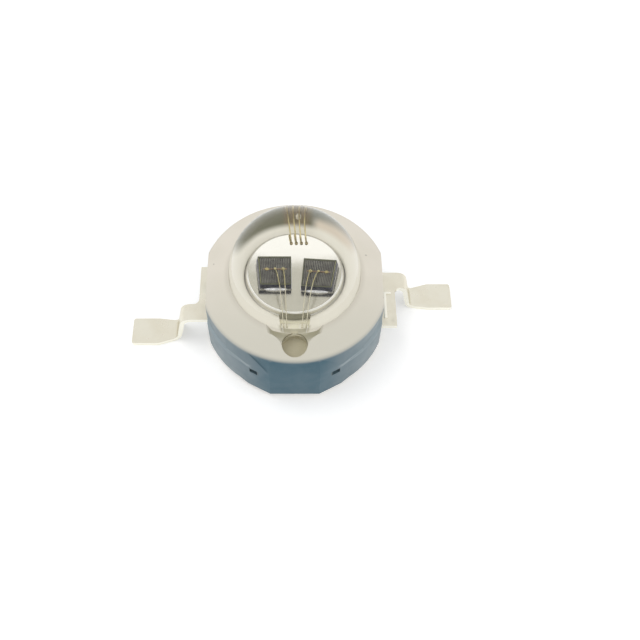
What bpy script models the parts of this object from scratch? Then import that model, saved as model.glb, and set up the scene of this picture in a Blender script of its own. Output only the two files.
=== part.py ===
"""High-power infrared LED: a moulded round housing on a copper heat slug, with two
gull-wing leads, two dies on the slug's flat top, gold bond wires, silicone gel and a dome lens.

The pieces are drawn in millimetres under one empty, whose scale brings them to metres.
X runs along the leads, Z is up, and the slug's base rests on z = 0.
"""

import math

import bmesh
import bpy
from mathutils import Matrix, Vector

OBJECT_NAME = "high_power_infrared_led"
METRES_PER_MM = 0.001

# Smoothness of the round pieces
TURN_STEPS = 60
DOME_ARC_STEPS = 14
GEL_ARC_STEPS = 12
BEND_STEPS = 5
STRIP_STEPS = 15
HOLE_STEPS = 28
SMALL_HOLE_STEPS = 16
SHARP_ANGLE_DEG = 35.0
WELD_DISTANCE = 1e-5

# Gaps between pieces
FIT_GAP = 0.012
LENS_FIT_GAP = 0.03
CONTACT_GAP = 0.005
CUTTER_OVERSHOOT = 0.4

# Heat slug: base disc, collar and neck, with a flat top that stands a little over the shelf
SLUG_BASE_RADIUS = 2.80
SLUG_BASE_HEIGHT = 0.90
SLUG_BASE_CHAMFER = 0.08
SLUG_COLLAR_RADIUS = 2.20
SLUG_COLLAR_HEIGHT = 0.30
SLUG_NECK_RADIUS = 1.40
SLUG_TOP_HEIGHT = 3.22
SLUG_TOP_ROUNDING = 0.05
SLUG_PROUD = 0.13

# Moulded housing: its band and drum outside, then the crown above the shelf round the slug
HOUSING_BASE_HEIGHT = 0.30
HOUSING_BAND_RADIUS = 4.05
HOUSING_DRUM_RADIUS = 3.97
HOUSING_FOOT_CHAMFER = 0.08
LEDGE_HEIGHT = 2.00
LEDGE_RISE = 0.10
RIM_ROUNDING = 0.14
CROWN_RISE = 0.43
CROWN_DROP = 0.40
SIDE_FLAT_DISTANCE = 3.72
FACE_DISTANCE = 4.08
FACE_RISE = 0.15
BOSS_TOP_DROP = 0.10
BOSS_TOP_INSET = 0.02
BOSS_DEPTH = 2.90
BOSS_FACE_HALF_WIDTH = 1.05
BOSS_CHEEK_HALF_WIDTH = 2.00
BOSS_CHEEK_DISTANCE = 3.57
BOSS_END_HALF_WIDTH = 2.85
BOSS_END_DISTANCE = 2.84
NOTCH_WIDTH = 0.36
NOTCH_HEIGHT = 0.30
NOTCH_DEPTH = 0.22
NOTCH_OFFSET = 1.70
NOTCH_BASE_HEIGHT = 1.52
NOTCH_TURN_DEG = 31.0

# Bond window in the shelf, with its slot at the slug and its filling pocket outside the lens
WINDOW_WIDTH = 1.00
WINDOW_END_WALL = 0.06
SLOT_HALF_WIDTH = 0.46
SLOT_DEPTH = 0.54
SLOT_UNDERCUT = 0.04
DUCT_HALF_WIDTH = 0.42
DUCT_STEP = 0.02
POCKET_DISTANCE = 3.28
POCKET_RADIUS = 0.57
POCKET_DEPTH = 0.69
FUNNEL_RADIUS = 0.80
FUNNEL_MOUTH_HALF_WIDTH = 1.15
FUNNEL_DEPTH = 0.28

# Dome lens, a hollow shell on a skirt
LENS_RADIUS = 2.75
LENS_WALL = 0.47
LENS_SKIRT = 0.50
GEL_MENISCUS = 0.06

# Lead frame: ear, neck, drop and solder pad outside, strip and bond post inside
SHEET_THICKNESS = 0.20
LEAD_TOP_HEIGHT = 1.68
LEAD_SPAN = 14.50
LEFT_EAR_REACH = 4.18
RIGHT_EAR_REACH = 4.40
EAR_END_OFFSET = 1.52
EAR_FILLET_RADIUS = 0.26
NECK_WIDTH = 0.80
NECK_OFFSET = 0.82
NECK_FLARE_REACH = 3.94
NECK_FLARE_LENGTH = 0.36
NECK_FLARE = 0.18
DROP_FACE_DISTANCE = 5.10
UPPER_BEND_RADIUS = 0.22
LOWER_BEND_RADIUS = 0.26
PAD_WIDTH = 1.27
PAD_OFFSET = 0.92
PAD_TAPER_START = 5.34
PAD_TAPER_END = 6.08
PAD_CORNER_RADIUS = 0.10
DIMPLE_RADIUS = 0.13
DIMPLE_DEPTH = 0.07
DIMPLE_DISTANCE = 4.12
DIMPLE_OFFSET = 1.27
STRIP_INNER_RADIUS = 2.34
STRIP_OUTER_RADIUS = 3.05
POST_SINK = 0.14
POST_WIDTH = 0.86
POST_TIP_DISTANCE = 1.62

# Dies, their attach layer and the metal bar with two bond pads on each
DIE_WIDTH = 1.00
DIE_THICKNESS = 0.20
ATTACH_THICKNESS = 0.03
ATTACH_MARGIN = 0.02
LEFT_DIE_CENTRE = (-0.58, 0.06)
RIGHT_DIE_CENTRE = (0.70, -0.03)
LEFT_DIE_TURN_DEG = 0.0
RIGHT_DIE_TURN_DEG = -4.0
BAR_LENGTH = 0.70
BAR_WIDTH = 0.035
BAR_OFFSET = 0.06
BOND_PAD_RADIUS = 0.055
BOND_PAD_SPACING = 0.48
CONTACT_THICKNESS = 0.012

# Gold bond wires
WIRES_PER_POST = 4
WIRE_RADIUS = 0.019
BALL_SWELL = 2.3
BALL_HEIGHT = 0.035
BALL_NECK_HEIGHT = 0.042
WIRE_RISE = 0.10
WIRE_STEPS = 9
WIRE_ROUNDING = 1
STITCH_LENGTH = 0.076
FRONT_WIRE_ARCH = 0.34
BACK_WIRE_ARCH = 0.28
FRONT_BOND_SPACING = 0.22
BACK_BOND_SPACING = 0.17
POST_BOND_CENTRE = 0.05
POST_BOND_DISTANCE = 1.88
SLUG_BOND_SPACING = 0.135
SLUG_BOND_DISTANCE = 1.10
SLUG_BOND_CENTRE = 0.11

# Colour, roughness, metallic and transmission of each material
SILVER_PLATE = ((0.88, 0.87, 0.84, 1.0), 0.28, 1.0, 0.0)
WHITE_PLASTIC = ((0.82, 0.79, 0.72, 1.0), 0.45, 0.0, 0.0)
CLEAR_LENS = ((0.98, 0.98, 0.96, 1.0), 0.03, 0.0, 1.0)
CLEAR_GEL = ((0.96, 0.95, 0.90, 1.0), 0.05, 0.0, 1.0)
DARK_DIE = ((0.14, 0.13, 0.12, 1.0), 0.30, 0.0, 0.0)
GREY_ATTACH = ((0.55, 0.55, 0.55, 1.0), 0.50, 1.0, 0.0)
GOLD = ((0.86, 0.62, 0.24, 1.0), 0.25, 1.0, 0.0)


def clear_scene():
    """Remove every object that the file opened with."""
    for obj in list(bpy.data.objects):
        bpy.data.objects.remove(obj, do_unlink=True)


def make_collection(name, hidden=False):
    """Add a collection to the scene, left out of renders for cutters."""
    collection = bpy.data.collections.new(name)
    bpy.context.scene.collection.children.link(collection)
    collection.hide_render = hidden
    return collection


class Workshop:
    """The two collections and the empty that all pieces hang from."""

    def __init__(self):
        self.parts = make_collection(OBJECT_NAME)
        self.cutters = make_collection("cutters", hidden=True)
        self.root = bpy.data.objects.new("led_root", None)
        self.root.scale = (METRES_PER_MM,) * 3
        self.parts.objects.link(self.root)
        bpy.context.view_layer.update()

    def add(self, name, data, matrix=None):
        """Link an object of the given data under the root."""
        obj = bpy.data.objects.new(name, data)
        self.parts.objects.link(obj)
        obj.parent = self.root
        obj.matrix_local = matrix or Matrix()
        return obj

    def as_cutter(self, obj):
        """Move an object to the cutters, where a render leaves it out."""
        self.parts.objects.unlink(obj)
        self.cutters.objects.link(obj)
        obj.hide_render = True
        obj.display_type = "WIRE"
        return obj

    def to_mesh(self, curve):
        """Swap a curve for its mesh, with the caps welded to the sides."""
        bpy.context.view_layer.update()
        graph = bpy.context.evaluated_depsgraph_get()
        mesh = bpy.data.meshes.new_from_object(curve.evaluated_get(graph))
        shape = bmesh.new()
        shape.from_mesh(mesh)
        bmesh.ops.remove_doubles(shape, verts=shape.verts, dist=WELD_DISTANCE)
        bmesh.ops.recalc_face_normals(shape, faces=shape.faces)
        shape.to_mesh(mesh)
        shape.free()
        name, place = curve.name, curve.matrix_world.copy()
        bpy.data.objects.remove(curve, do_unlink=True)
        obj = self.add(name, mesh)
        obj.matrix_world = place
        return obj

    def turned(self, name, profile):
        """Revolve a profile of (radius, height) points, from axis to axis, about Z."""
        mesh = bpy.data.meshes.new(name)
        edges = [(i, i + 1) for i in range(len(profile) - 1)]
        mesh.from_pydata([(radius, 0.0, height) for radius, height in profile], edges, [])
        obj = self.add(name, mesh)
        screw = obj.modifiers.new("turn", "SCREW")
        screw.steps = TURN_STEPS
        screw.render_steps = TURN_STEPS
        screw.use_merge_vertices = True
        screw.merge_threshold = WELD_DISTANCE
        screw.use_smooth_shade = True
        return obj

    def plate(self, name, outline, low, high):
        """Fill a flat outline of (x, y) points between two heights."""
        obj = self.flat_curve(name, outline, high - low)
        obj.location.z = 0.5 * (low + high)
        return self.to_mesh(obj)

    def loft(self, name, outlines, heights):
        """A closed block through outlines of equal point counts, one at each height."""
        shape = bmesh.new()
        rings = []
        for outline, height in zip(outlines, heights):
            rings.append([shape.verts.new((x, y, height)) for x, y in outline])
        count = len(outlines[0])
        for lower, upper in zip(rings, rings[1:]):
            for i in range(count):
                j = (i + 1) % count
                shape.faces.new((lower[i], lower[j], upper[j], upper[i]))
        shape.faces.new(rings[0])
        shape.faces.new(rings[-1])
        bmesh.ops.recalc_face_normals(shape, faces=shape.faces)
        mesh = bpy.data.meshes.new(name)
        shape.to_mesh(mesh)
        shape.free()
        return self.add(name, mesh)

    def flat_curve(self, name, outline, thickness):
        """A filled 2D curve, with half its thickness on each side."""
        curve = bpy.data.curves.new(name, "CURVE")
        curve.dimensions = "2D"
        curve.fill_mode = "BOTH"
        curve.extrude = 0.5 * thickness
        spline = curve.splines.new("POLY")
        spline.points.add(len(outline) - 1)
        for point, (x, y) in zip(spline.points, outline):
            point.co = (x, y, 0.0, 1.0)
        spline.use_cyclic_u = True
        return self.add(name, curve)

    def box(self, name, low, high, turn=None):
        """A block between two corners, turned about Z through its centre."""
        shape = bmesh.new()
        bmesh.ops.create_cube(shape, size=1.0)
        size = Vector(high) - Vector(low)
        bmesh.ops.scale(shape, vec=size, verts=shape.verts)
        mesh = bpy.data.meshes.new(name)
        shape.to_mesh(mesh)
        shape.free()
        centre = 0.5 * (Vector(low) + Vector(high))
        matrix = Matrix.Translation(centre) @ Matrix.Rotation(turn or 0.0, 4, "Z")
        return self.add(name, mesh, matrix)

    def disc(self, name, radius, low, high, centre=(0.0, 0.0), steps=HOLE_STEPS):
        """A round block between two heights."""
        shape = bmesh.new()
        bmesh.ops.create_cone(
            shape, cap_ends=True, segments=steps, radius1=radius, radius2=radius, depth=high - low
        )
        mesh = bpy.data.meshes.new(name)
        shape.to_mesh(mesh)
        shape.free()
        place = Vector((centre[0], centre[1], 0.5 * (low + high)))
        return self.add(name, mesh, Matrix.Translation(place))


def combine(obj, other, operation):
    """Join, cut or intersect an object with another by a Boolean."""
    boolean = obj.modifiers.new(f"{operation.lower()}_{other.name}", "BOOLEAN")
    boolean.operation = operation
    boolean.solver = "EXACT"
    boolean.object = other
    return obj


def finish(obj, material):
    """Give a piece its material and smooth shading with sharp edges kept."""
    obj.data.materials.clear()
    obj.data.materials.append(material)
    if obj.type == "MESH" and len(obj.data.polygons):
        obj.data.shade_smooth()
        obj.data.set_sharp_from_angle(angle=math.radians(SHARP_ANGLE_DEG))
    return obj


def make_material(name, look):
    """A Principled material from a (colour, roughness, metallic, transmission) look."""
    colour, roughness, metallic, transmission = look
    material = bpy.data.materials.new(name)
    material.use_nodes = True
    shader = material.node_tree.nodes["Principled BSDF"]
    shader.inputs["Base Color"].default_value = colour
    shader.inputs["Roughness"].default_value = roughness
    shader.inputs["Metallic"].default_value = metallic
    shader.inputs["Transmission Weight"].default_value = transmission
    material.diffuse_color = colour
    return material


def arc(centre, radius, start_deg, end_deg, steps):
    """Points along an arc, both ends included."""
    points = []
    for i in range(steps + 1):
        angle = math.radians(start_deg + (end_deg - start_deg) * i / steps)
        points.append((centre[0] + radius * math.cos(angle), centre[1] + radius * math.sin(angle)))
    return points


def turned_about(points, side):
    """The same outline, or for side -1 the outline turned half a turn."""
    return [(side * x, side * y) for x, y in points]


def die_top():
    """Height of the dies' top faces."""
    return SLUG_TOP_HEIGHT + CONTACT_GAP + ATTACH_THICKNESS + CONTACT_GAP + DIE_THICKNESS


def shelf_height():
    """Height of the housing's shelf round the slug, which the lens stands on."""
    return SLUG_TOP_HEIGHT - SLUG_PROUD


def post_top_height():
    """Height of the bond posts, flush with the windows' floor."""
    return shelf_height() - POST_SINK


def crown_height():
    """Height of the crown at the lens."""
    return shelf_height() + CROWN_RISE


def crown_slope():
    """How far the crown falls for each millimetre outwards."""
    return CROWN_DROP / (HOUSING_DRUM_RADIUS - lens_bore())


def lens_bore():
    """Radius of the hole in the crown that the lens skirt seats in."""
    return LENS_RADIUS + LENS_FIT_GAP


def lens_inner_radius():
    """Radius of the lens's hollow."""
    return LENS_RADIUS - LENS_WALL


def skirt_base():
    """Height of the lens skirt's lower edge."""
    return shelf_height() + FIT_GAP


def lens_centre_height():
    """Height of the dome's centre, where the skirt begins."""
    return skirt_base() + LENS_SKIRT


def window_reach():
    """How far out the bond window runs, to just inside the lens's bore."""
    return math.sqrt(lens_bore() ** 2 - (0.5 * WINDOW_WIDTH) ** 2) - WINDOW_END_WALL


def make_slug(shop):
    """The turned heat slug, in three steps with a rounded edge round its flat top."""
    rounding = (SLUG_NECK_RADIUS - SLUG_TOP_ROUNDING, SLUG_TOP_HEIGHT - SLUG_TOP_ROUNDING)
    profile = [
        (0.0, SLUG_TOP_HEIGHT),
        *arc(rounding, SLUG_TOP_ROUNDING, 90.0, 0.0, BEND_STEPS),
        (SLUG_NECK_RADIUS, SLUG_BASE_HEIGHT + SLUG_COLLAR_HEIGHT),
        (SLUG_COLLAR_RADIUS, SLUG_BASE_HEIGHT + SLUG_COLLAR_HEIGHT),
        (SLUG_COLLAR_RADIUS, SLUG_BASE_HEIGHT),
        (SLUG_BASE_RADIUS, SLUG_BASE_HEIGHT),
        (SLUG_BASE_RADIUS, SLUG_BASE_CHAMFER),
        (SLUG_BASE_RADIUS - SLUG_BASE_CHAMFER, 0.0),
        (0.0, 0.0),
    ]
    return shop.turned("heat_slug", profile)


def housing_profile():
    """The housing's outer section: crown, rim, drum, ledge, band and foot."""
    rim_height = crown_height() - CROWN_DROP
    rounding = (HOUSING_DRUM_RADIUS - RIM_ROUNDING, rim_height - RIM_ROUNDING)
    start_deg = 90.0 - math.degrees(math.atan(crown_slope()))
    return [
        (0.0, crown_height() + crown_slope() * lens_bore()),
        *arc(rounding, RIM_ROUNDING, start_deg, 0.0, BEND_STEPS),
        (HOUSING_DRUM_RADIUS, LEDGE_HEIGHT + LEDGE_RISE),
        (HOUSING_BAND_RADIUS, LEDGE_HEIGHT),
        (HOUSING_BAND_RADIUS, HOUSING_BASE_HEIGHT + HOUSING_FOOT_CHAMFER),
        (HOUSING_BAND_RADIUS - HOUSING_FOOT_CHAMFER, HOUSING_BASE_HEIGHT),
        (0.0, HOUSING_BASE_HEIGHT),
    ]


def bore_profile():
    """The room inside the housing: the lens's seat above the shelf, and the slug's stepped bore."""
    collar_top = SLUG_BASE_HEIGHT + SLUG_COLLAR_HEIGHT + FIT_GAP
    above = crown_height() + crown_slope() * lens_bore() + CUTTER_OVERSHOOT
    return [
        (0.0, above),
        (lens_bore(), above),
        (lens_bore(), shelf_height()),
        (SLUG_NECK_RADIUS + FIT_GAP, shelf_height()),
        (SLUG_NECK_RADIUS + FIT_GAP, collar_top),
        (SLUG_COLLAR_RADIUS + FIT_GAP, collar_top),
        (SLUG_COLLAR_RADIUS + FIT_GAP, SLUG_BASE_HEIGHT + FIT_GAP),
        (SLUG_BASE_RADIUS + FIT_GAP, SLUG_BASE_HEIGHT + FIT_GAP),
        (SLUG_BASE_RADIUS + FIT_GAP, -CUTTER_OVERSHOOT),
        (0.0, -CUTTER_OVERSHOOT),
    ]


def boss_outline(side, corners):
    """Plan of the boss at the front or back of the housing, from the corners of its right half."""
    half = [(BOSS_END_HALF_WIDTH, FACE_DISTANCE - BOSS_DEPTH), *corners]
    return turned_about(half + [(-x, y) for x, y in reversed(half)], side)


def make_boss(shop, side):
    """The boss: its face and cheeks stand upright, then lean back until the round drum covers them."""
    corners = [
        (BOSS_END_HALF_WIDTH, BOSS_END_DISTANCE),
        (BOSS_CHEEK_HALF_WIDTH, BOSS_CHEEK_DISTANCE),
        (BOSS_FACE_HALF_WIDTH, FACE_DISTANCE),
    ]
    hidden = [Vector(corner).normalized() * (HOUSING_DRUM_RADIUS - BOSS_TOP_INSET) for corner in corners]
    upright = boss_outline(side, corners)
    heights = (HOUSING_BASE_HEIGHT, LEDGE_HEIGHT + FACE_RISE, crown_height() - CROWN_DROP - BOSS_TOP_DROP)
    name = "boss_back" if side > 0 else "boss_front"
    return shop.loft(name, (upright, upright, boss_outline(side, hidden)), heights)


def block_outline(half_width, near, far, side):
    """Plan of a straight-sided block that runs outwards from the slug."""
    points = [(-half_width, near), (half_width, near), (half_width, far), (-half_width, far)]
    return turned_about(points, side)


def funnel_outline(side):
    """Plan of the shallow mouth between the lens and the filling pocket."""
    centre = (0.0, POCKET_DISTANCE)
    points = [
        (-FUNNEL_MOUTH_HALF_WIDTH, LENS_RADIUS - CUTTER_OVERSHOOT),
        (FUNNEL_MOUTH_HALF_WIDTH, LENS_RADIUS - CUTTER_OVERSHOOT),
        (FUNNEL_MOUTH_HALF_WIDTH, LENS_RADIUS),
        *arc(centre, FUNNEL_RADIUS, 0.0, 180.0, HOLE_STEPS // 2),
        (-FUNNEL_MOUTH_HALF_WIDTH, LENS_RADIUS),
    ]
    return turned_about(points, side)


def cut_filling_pocket(shop, housing, side):
    """Open the bond window, its slot, duct, pocket and funnel, at the back for side 1 or the front."""
    above = crown_height() + CUTTER_OVERSHOOT
    end = "back" if side > 0 else "front"
    inside = SLUG_NECK_RADIUS - CUTTER_OVERSHOOT
    window_plan = block_outline(0.5 * WINDOW_WIDTH, inside, window_reach(), side)
    slot_plan = block_outline(SLOT_HALF_WIDTH, inside, POST_TIP_DISTANCE + SLOT_UNDERCUT, side)
    duct_plan = block_outline(DUCT_HALF_WIDTH, inside, POCKET_DISTANCE, side)
    duct_floor = post_top_height() + DUCT_STEP
    pocket_floor = shelf_height() - POCKET_DEPTH
    cutters = (
        shop.plate(f"{end}_window_cut", window_plan, post_top_height(), above),
        shop.plate(f"{end}_slot_cut", slot_plan, shelf_height() - SLOT_DEPTH, above),
        shop.plate(f"{end}_duct_cut", duct_plan, duct_floor, skirt_base() + LENS_FIT_GAP),
        shop.disc(f"{end}_pocket_cut", POCKET_RADIUS, pocket_floor, above, (0.0, side * POCKET_DISTANCE)),
        shop.plate(f"{end}_funnel_cut", funnel_outline(side), crown_height() - FUNNEL_DEPTH, above),
    )
    for cutter in cutters:
        combine(housing, shop.as_cutter(cutter), "DIFFERENCE")


def cut_notches(shop, housing):
    """Small slots at both sides of each boss, where the ledge ends."""
    reach = math.sqrt(HOUSING_BAND_RADIUS**2 - NOTCH_OFFSET**2)
    half = Vector((0.5 * NOTCH_WIDTH, NOTCH_DEPTH, 0.5 * NOTCH_HEIGHT))
    for side_y in (-1, 1):
        for side_x in (-1, 1):
            centre = Vector((side_x * NOTCH_OFFSET, side_y * reach, NOTCH_BASE_HEIGHT + half.z))
            turn = math.radians(-side_x * side_y * NOTCH_TURN_DEG)
            name = f"notch_cut_{'left' if side_x < 0 else 'right'}_{'front' if side_y < 0 else 'back'}"
            notch = shop.box(name, centre - half, centre + half, turn)
            combine(housing, shop.as_cutter(notch), "DIFFERENCE")


def make_housing(shop):
    """The one-piece moulded housing, cut clear of the slug, the lens and the lead frame."""
    housing = shop.turned("housing", housing_profile())
    for side in (-1, 1):
        combine(housing, shop.as_cutter(make_boss(shop, side)), "UNION")
    flats = shop.box(
        "flats_bound",
        (-SIDE_FLAT_DISTANCE, -FACE_DISTANCE - CUTTER_OVERSHOOT, -CUTTER_OVERSHOOT),
        (SIDE_FLAT_DISTANCE, FACE_DISTANCE + CUTTER_OVERSHOOT, crown_height() + CUTTER_OVERSHOOT),
    )
    combine(housing, shop.as_cutter(flats), "INTERSECT")
    combine(housing, shop.as_cutter(shop.turned("bore_cut", bore_profile())), "DIFFERENCE")
    for side in (-1, 1):
        cut_filling_pocket(shop, housing, side)
    cut_notches(shop, housing)
    for side, name in ((-1, "left"), (1, "right")):
        combine(housing, shop.as_cutter(make_lead(shop, f"lead_{name}_cut", side, FIT_GAP)), "DIFFERENCE")
    return housing


def gull_wing_outline(grow):
    """Side view of the sheet: out of the housing, down the drop and along the solder pad."""
    top = LEAD_TOP_HEIGHT + grow
    under = LEAD_TOP_HEIGHT - SHEET_THICKNESS - grow
    outer = DROP_FACE_DISTANCE + grow
    inner = DROP_FACE_DISTANCE - SHEET_THICKNESS - grow
    pad_top = SHEET_THICKNESS + grow
    tip = 0.5 * LEAD_SPAN + grow
    start = STRIP_INNER_RADIUS
    inside = UPPER_BEND_RADIUS
    outside = inside + SHEET_THICKNESS
    small = LOWER_BEND_RADIUS
    large = small + SHEET_THICKNESS
    return [
        (start, under),
        (start, top),
        *arc((outer - outside, top - outside), outside, 90.0, 0.0, BEND_STEPS),
        *arc((outer + small, pad_top + small), small, 180.0, 270.0, BEND_STEPS),
        (tip, pad_top),
        (tip, -grow),
        *arc((inner + large, large - grow), large, 270.0, 180.0, BEND_STEPS),
        *arc((inner - inside, under - inside), inside, 0.0, 90.0, BEND_STEPS),
    ]


def lead_plan(grow, ear_reach, flared):
    """Plan of the sheet outside the housing: ear, neck with or without a flare, and solder pad."""
    neck_low = NECK_OFFSET - 0.5 * NECK_WIDTH - grow
    neck_high = NECK_OFFSET + 0.5 * NECK_WIDTH + grow
    pad_low = PAD_OFFSET - 0.5 * PAD_WIDTH - grow
    pad_high = PAD_OFFSET + 0.5 * PAD_WIDTH + grow
    tip = 0.5 * LEAD_SPAN + grow
    reach = ear_reach + grow
    corner = PAD_CORNER_RADIUS
    fillet = EAR_FILLET_RADIUS
    start = STRIP_INNER_RADIUS
    root = [(start, neck_high)]
    if flared:
        wide = neck_high + NECK_FLARE
        root = [(NECK_FLARE_REACH, neck_high), (NECK_FLARE_REACH - NECK_FLARE_LENGTH, wide), (start, wide)]
    return [
        (start, -EAR_END_OFFSET - grow),
        (reach, -EAR_END_OFFSET - grow),
        *arc((reach + fillet, neck_low - fillet), fillet, 180.0, 90.0, BEND_STEPS),
        (PAD_TAPER_START, neck_low),
        (PAD_TAPER_END, pad_low),
        *arc((tip - corner, pad_low + corner), corner, 270.0, 360.0, BEND_STEPS),
        *arc((tip - corner, pad_high - corner), corner, 0.0, 90.0, BEND_STEPS),
        (PAD_TAPER_END, pad_high),
        (PAD_TAPER_START, neck_high),
        *root,
    ]


def strip_plan(grow):
    """Plan of the hidden strip that curves round the slug to the bond post."""
    half = 0.5 * POST_WIDTH + grow
    middle = 0.5 * (STRIP_INNER_RADIUS + STRIP_OUTER_RADIUS)
    finish_deg = 90.0 + math.degrees(math.asin(half / middle))
    return [
        *arc((0.0, 0.0), STRIP_OUTER_RADIUS + grow, 0.0, finish_deg, STRIP_STEPS),
        *arc((0.0, 0.0), STRIP_INNER_RADIUS - grow, finish_deg, 0.0, STRIP_STEPS),
    ]


def make_lead(shop, name, side, grow=0.0):
    """One lead: side 1 is the right one, whose post is at the back. Grow makes its clearance shape."""
    low = LEAD_TOP_HEIGHT - SHEET_THICKNESS - grow
    high = LEAD_TOP_HEIGHT + grow
    above = high + CUTTER_OVERSHOOT
    ear_reach = RIGHT_EAR_REACH if side > 0 else LEFT_EAR_REACH
    half_width = EAR_END_OFFSET + PAD_OFFSET + PAD_WIDTH
    wing = shop.flat_curve(name, gull_wing_outline(grow), 2.0 * half_width)
    wing.matrix_local = Matrix.Rotation(math.radians(90.0), 4, "X")
    wing = shop.to_mesh(wing)
    if side < 0:
        wing.matrix_local = Matrix.Rotation(math.pi, 4, "Z") @ wing.matrix_local
    plan_outline = turned_about(lead_plan(grow, ear_reach, side > 0), side)
    plan = shop.plate(f"{name}_plan", plan_outline, -CUTTER_OVERSHOOT, above)
    combine(wing, shop.as_cutter(plan), "INTERSECT")
    strip = shop.plate(f"{name}_strip", turned_about(strip_plan(grow), side), low, high)
    combine(wing, shop.as_cutter(strip), "UNION")
    half = 0.5 * POST_WIDTH + grow
    near = STRIP_INNER_RADIUS - grow
    far = STRIP_INNER_RADIUS + SHEET_THICKNESS + grow
    post_top = post_top_height() + grow
    riser = shop.plate(f"{name}_riser", block_outline(half, near, far, side), low, post_top)
    combine(wing, shop.as_cutter(riser), "UNION")
    tip = POST_TIP_DISTANCE - grow
    tongue_base = post_top_height() - SHEET_THICKNESS - grow
    tongue = shop.plate(f"{name}_tongue", block_outline(half, tip, far, side), tongue_base, post_top)
    combine(wing, shop.as_cutter(tongue), "UNION")
    if side > 0 and grow == 0.0:
        place = (DIMPLE_DISTANCE, -DIMPLE_OFFSET)
        floor = high - DIMPLE_DEPTH
        dimple = shop.disc(f"{name}_dimple", DIMPLE_RADIUS, floor, above, place, SMALL_HOLE_STEPS)
        combine(wing, shop.as_cutter(dimple), "DIFFERENCE")
    return wing


def make_lens(shop):
    """The hollow dome lens on its skirt."""
    centre = (0.0, lens_centre_height())
    outer = arc(centre, LENS_RADIUS, 90.0, 0.0, DOME_ARC_STEPS)
    inner = arc(centre, lens_inner_radius(), 0.0, 90.0, DOME_ARC_STEPS)
    profile = [
        (0.0, outer[0][1]),
        *outer[1:],
        (LENS_RADIUS, skirt_base()),
        (lens_inner_radius(), skirt_base()),
        *inner[:-1],
        (0.0, inner[-1][1]),
    ]
    return shop.turned("lens_dome", profile)


def make_gel(shop, dies, wires):
    """The clear gel under the lens, in the bond windows and in the filling pockets."""
    radius = lens_inner_radius() - FIT_GAP
    dome = arc((0.0, lens_centre_height()), radius, 90.0, 0.0, GEL_ARC_STEPS)
    profile = [
        (0.0, dome[0][1]),
        *dome[1:],
        (radius, shelf_height() + FIT_GAP),
        (SLUG_NECK_RADIUS + FIT_GAP, shelf_height() + FIT_GAP),
        (SLUG_NECK_RADIUS + FIT_GAP, SLUG_TOP_HEIGHT + FIT_GAP),
        (0.0, SLUG_TOP_HEIGHT + FIT_GAP),
    ]
    gel = shop.turned("silicone_gel", profile)
    for side, end in ((-1, "front"), (1, "back")):
        add_gel_window(shop, gel, side, end)
    for cutter in (*dies, *wires):
        combine(gel, shop.as_cutter(cutter), "DIFFERENCE")
    return gel


def add_gel_window(shop, gel, side, end):
    """The gel's arm down into a bond window and its slot, out through the duct and up in the pocket."""
    low = post_top_height() + FIT_GAP
    half = 0.5 * WINDOW_WIDTH - FIT_GAP
    wall = SLUG_NECK_RADIUS + FIT_GAP
    under_skirt = shelf_height() - FIT_GAP
    well_end = lens_inner_radius() - LENS_FIT_GAP - FIT_GAP
    well_plan = block_outline(half, wall, well_end, side)
    slot_plan = block_outline(SLOT_HALF_WIDTH - FIT_GAP, wall, POST_TIP_DISTANCE - 2.0 * FIT_GAP, side)
    slot_floor = shelf_height() - SLOT_DEPTH + FIT_GAP
    sheet_plan = block_outline(half, wall + FIT_GAP, window_reach() - FIT_GAP, side)
    duct_plan = block_outline(DUCT_HALF_WIDTH - FIT_GAP, wall + 2.0 * FIT_GAP, POCKET_DISTANCE, side)
    pocket_floor = shelf_height() - POCKET_DEPTH + FIT_GAP
    surface = crown_height() - crown_slope() * (POCKET_DISTANCE + POCKET_RADIUS - lens_bore()) - GEL_MENISCUS
    pocket = (0.0, side * POCKET_DISTANCE)
    arms = (
        shop.plate(f"gel_{end}_well", well_plan, low, lens_centre_height()),
        shop.plate(f"gel_{end}_slot", slot_plan, slot_floor, shelf_height()),
        shop.plate(f"gel_{end}_sheet", sheet_plan, low + CONTACT_GAP, under_skirt),
        shop.plate(f"gel_{end}_duct", duct_plan, low + DUCT_STEP, under_skirt - CONTACT_GAP),
        shop.disc(f"gel_{end}_plug", POCKET_RADIUS - FIT_GAP, pocket_floor, surface, pocket),
    )
    for arm in arms:
        combine(gel, shop.as_cutter(arm), "UNION")


def die_matrix(centre, turn_deg, height):
    """Place of a layer of a die stack."""
    spot = Matrix.Translation((centre[0], centre[1], height))
    return spot @ Matrix.Rotation(math.radians(turn_deg), 4, "Z")


def slab(shop, name, width, depth, thickness, matrix):
    """A flat block with its underside on the given place."""
    obj = shop.box(name, (-0.5 * width, -0.5 * depth, 0.0), (0.5 * width, 0.5 * depth, thickness))
    obj.matrix_local = matrix @ Matrix.Translation((0.0, 0.0, 0.5 * thickness))
    return obj


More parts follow.
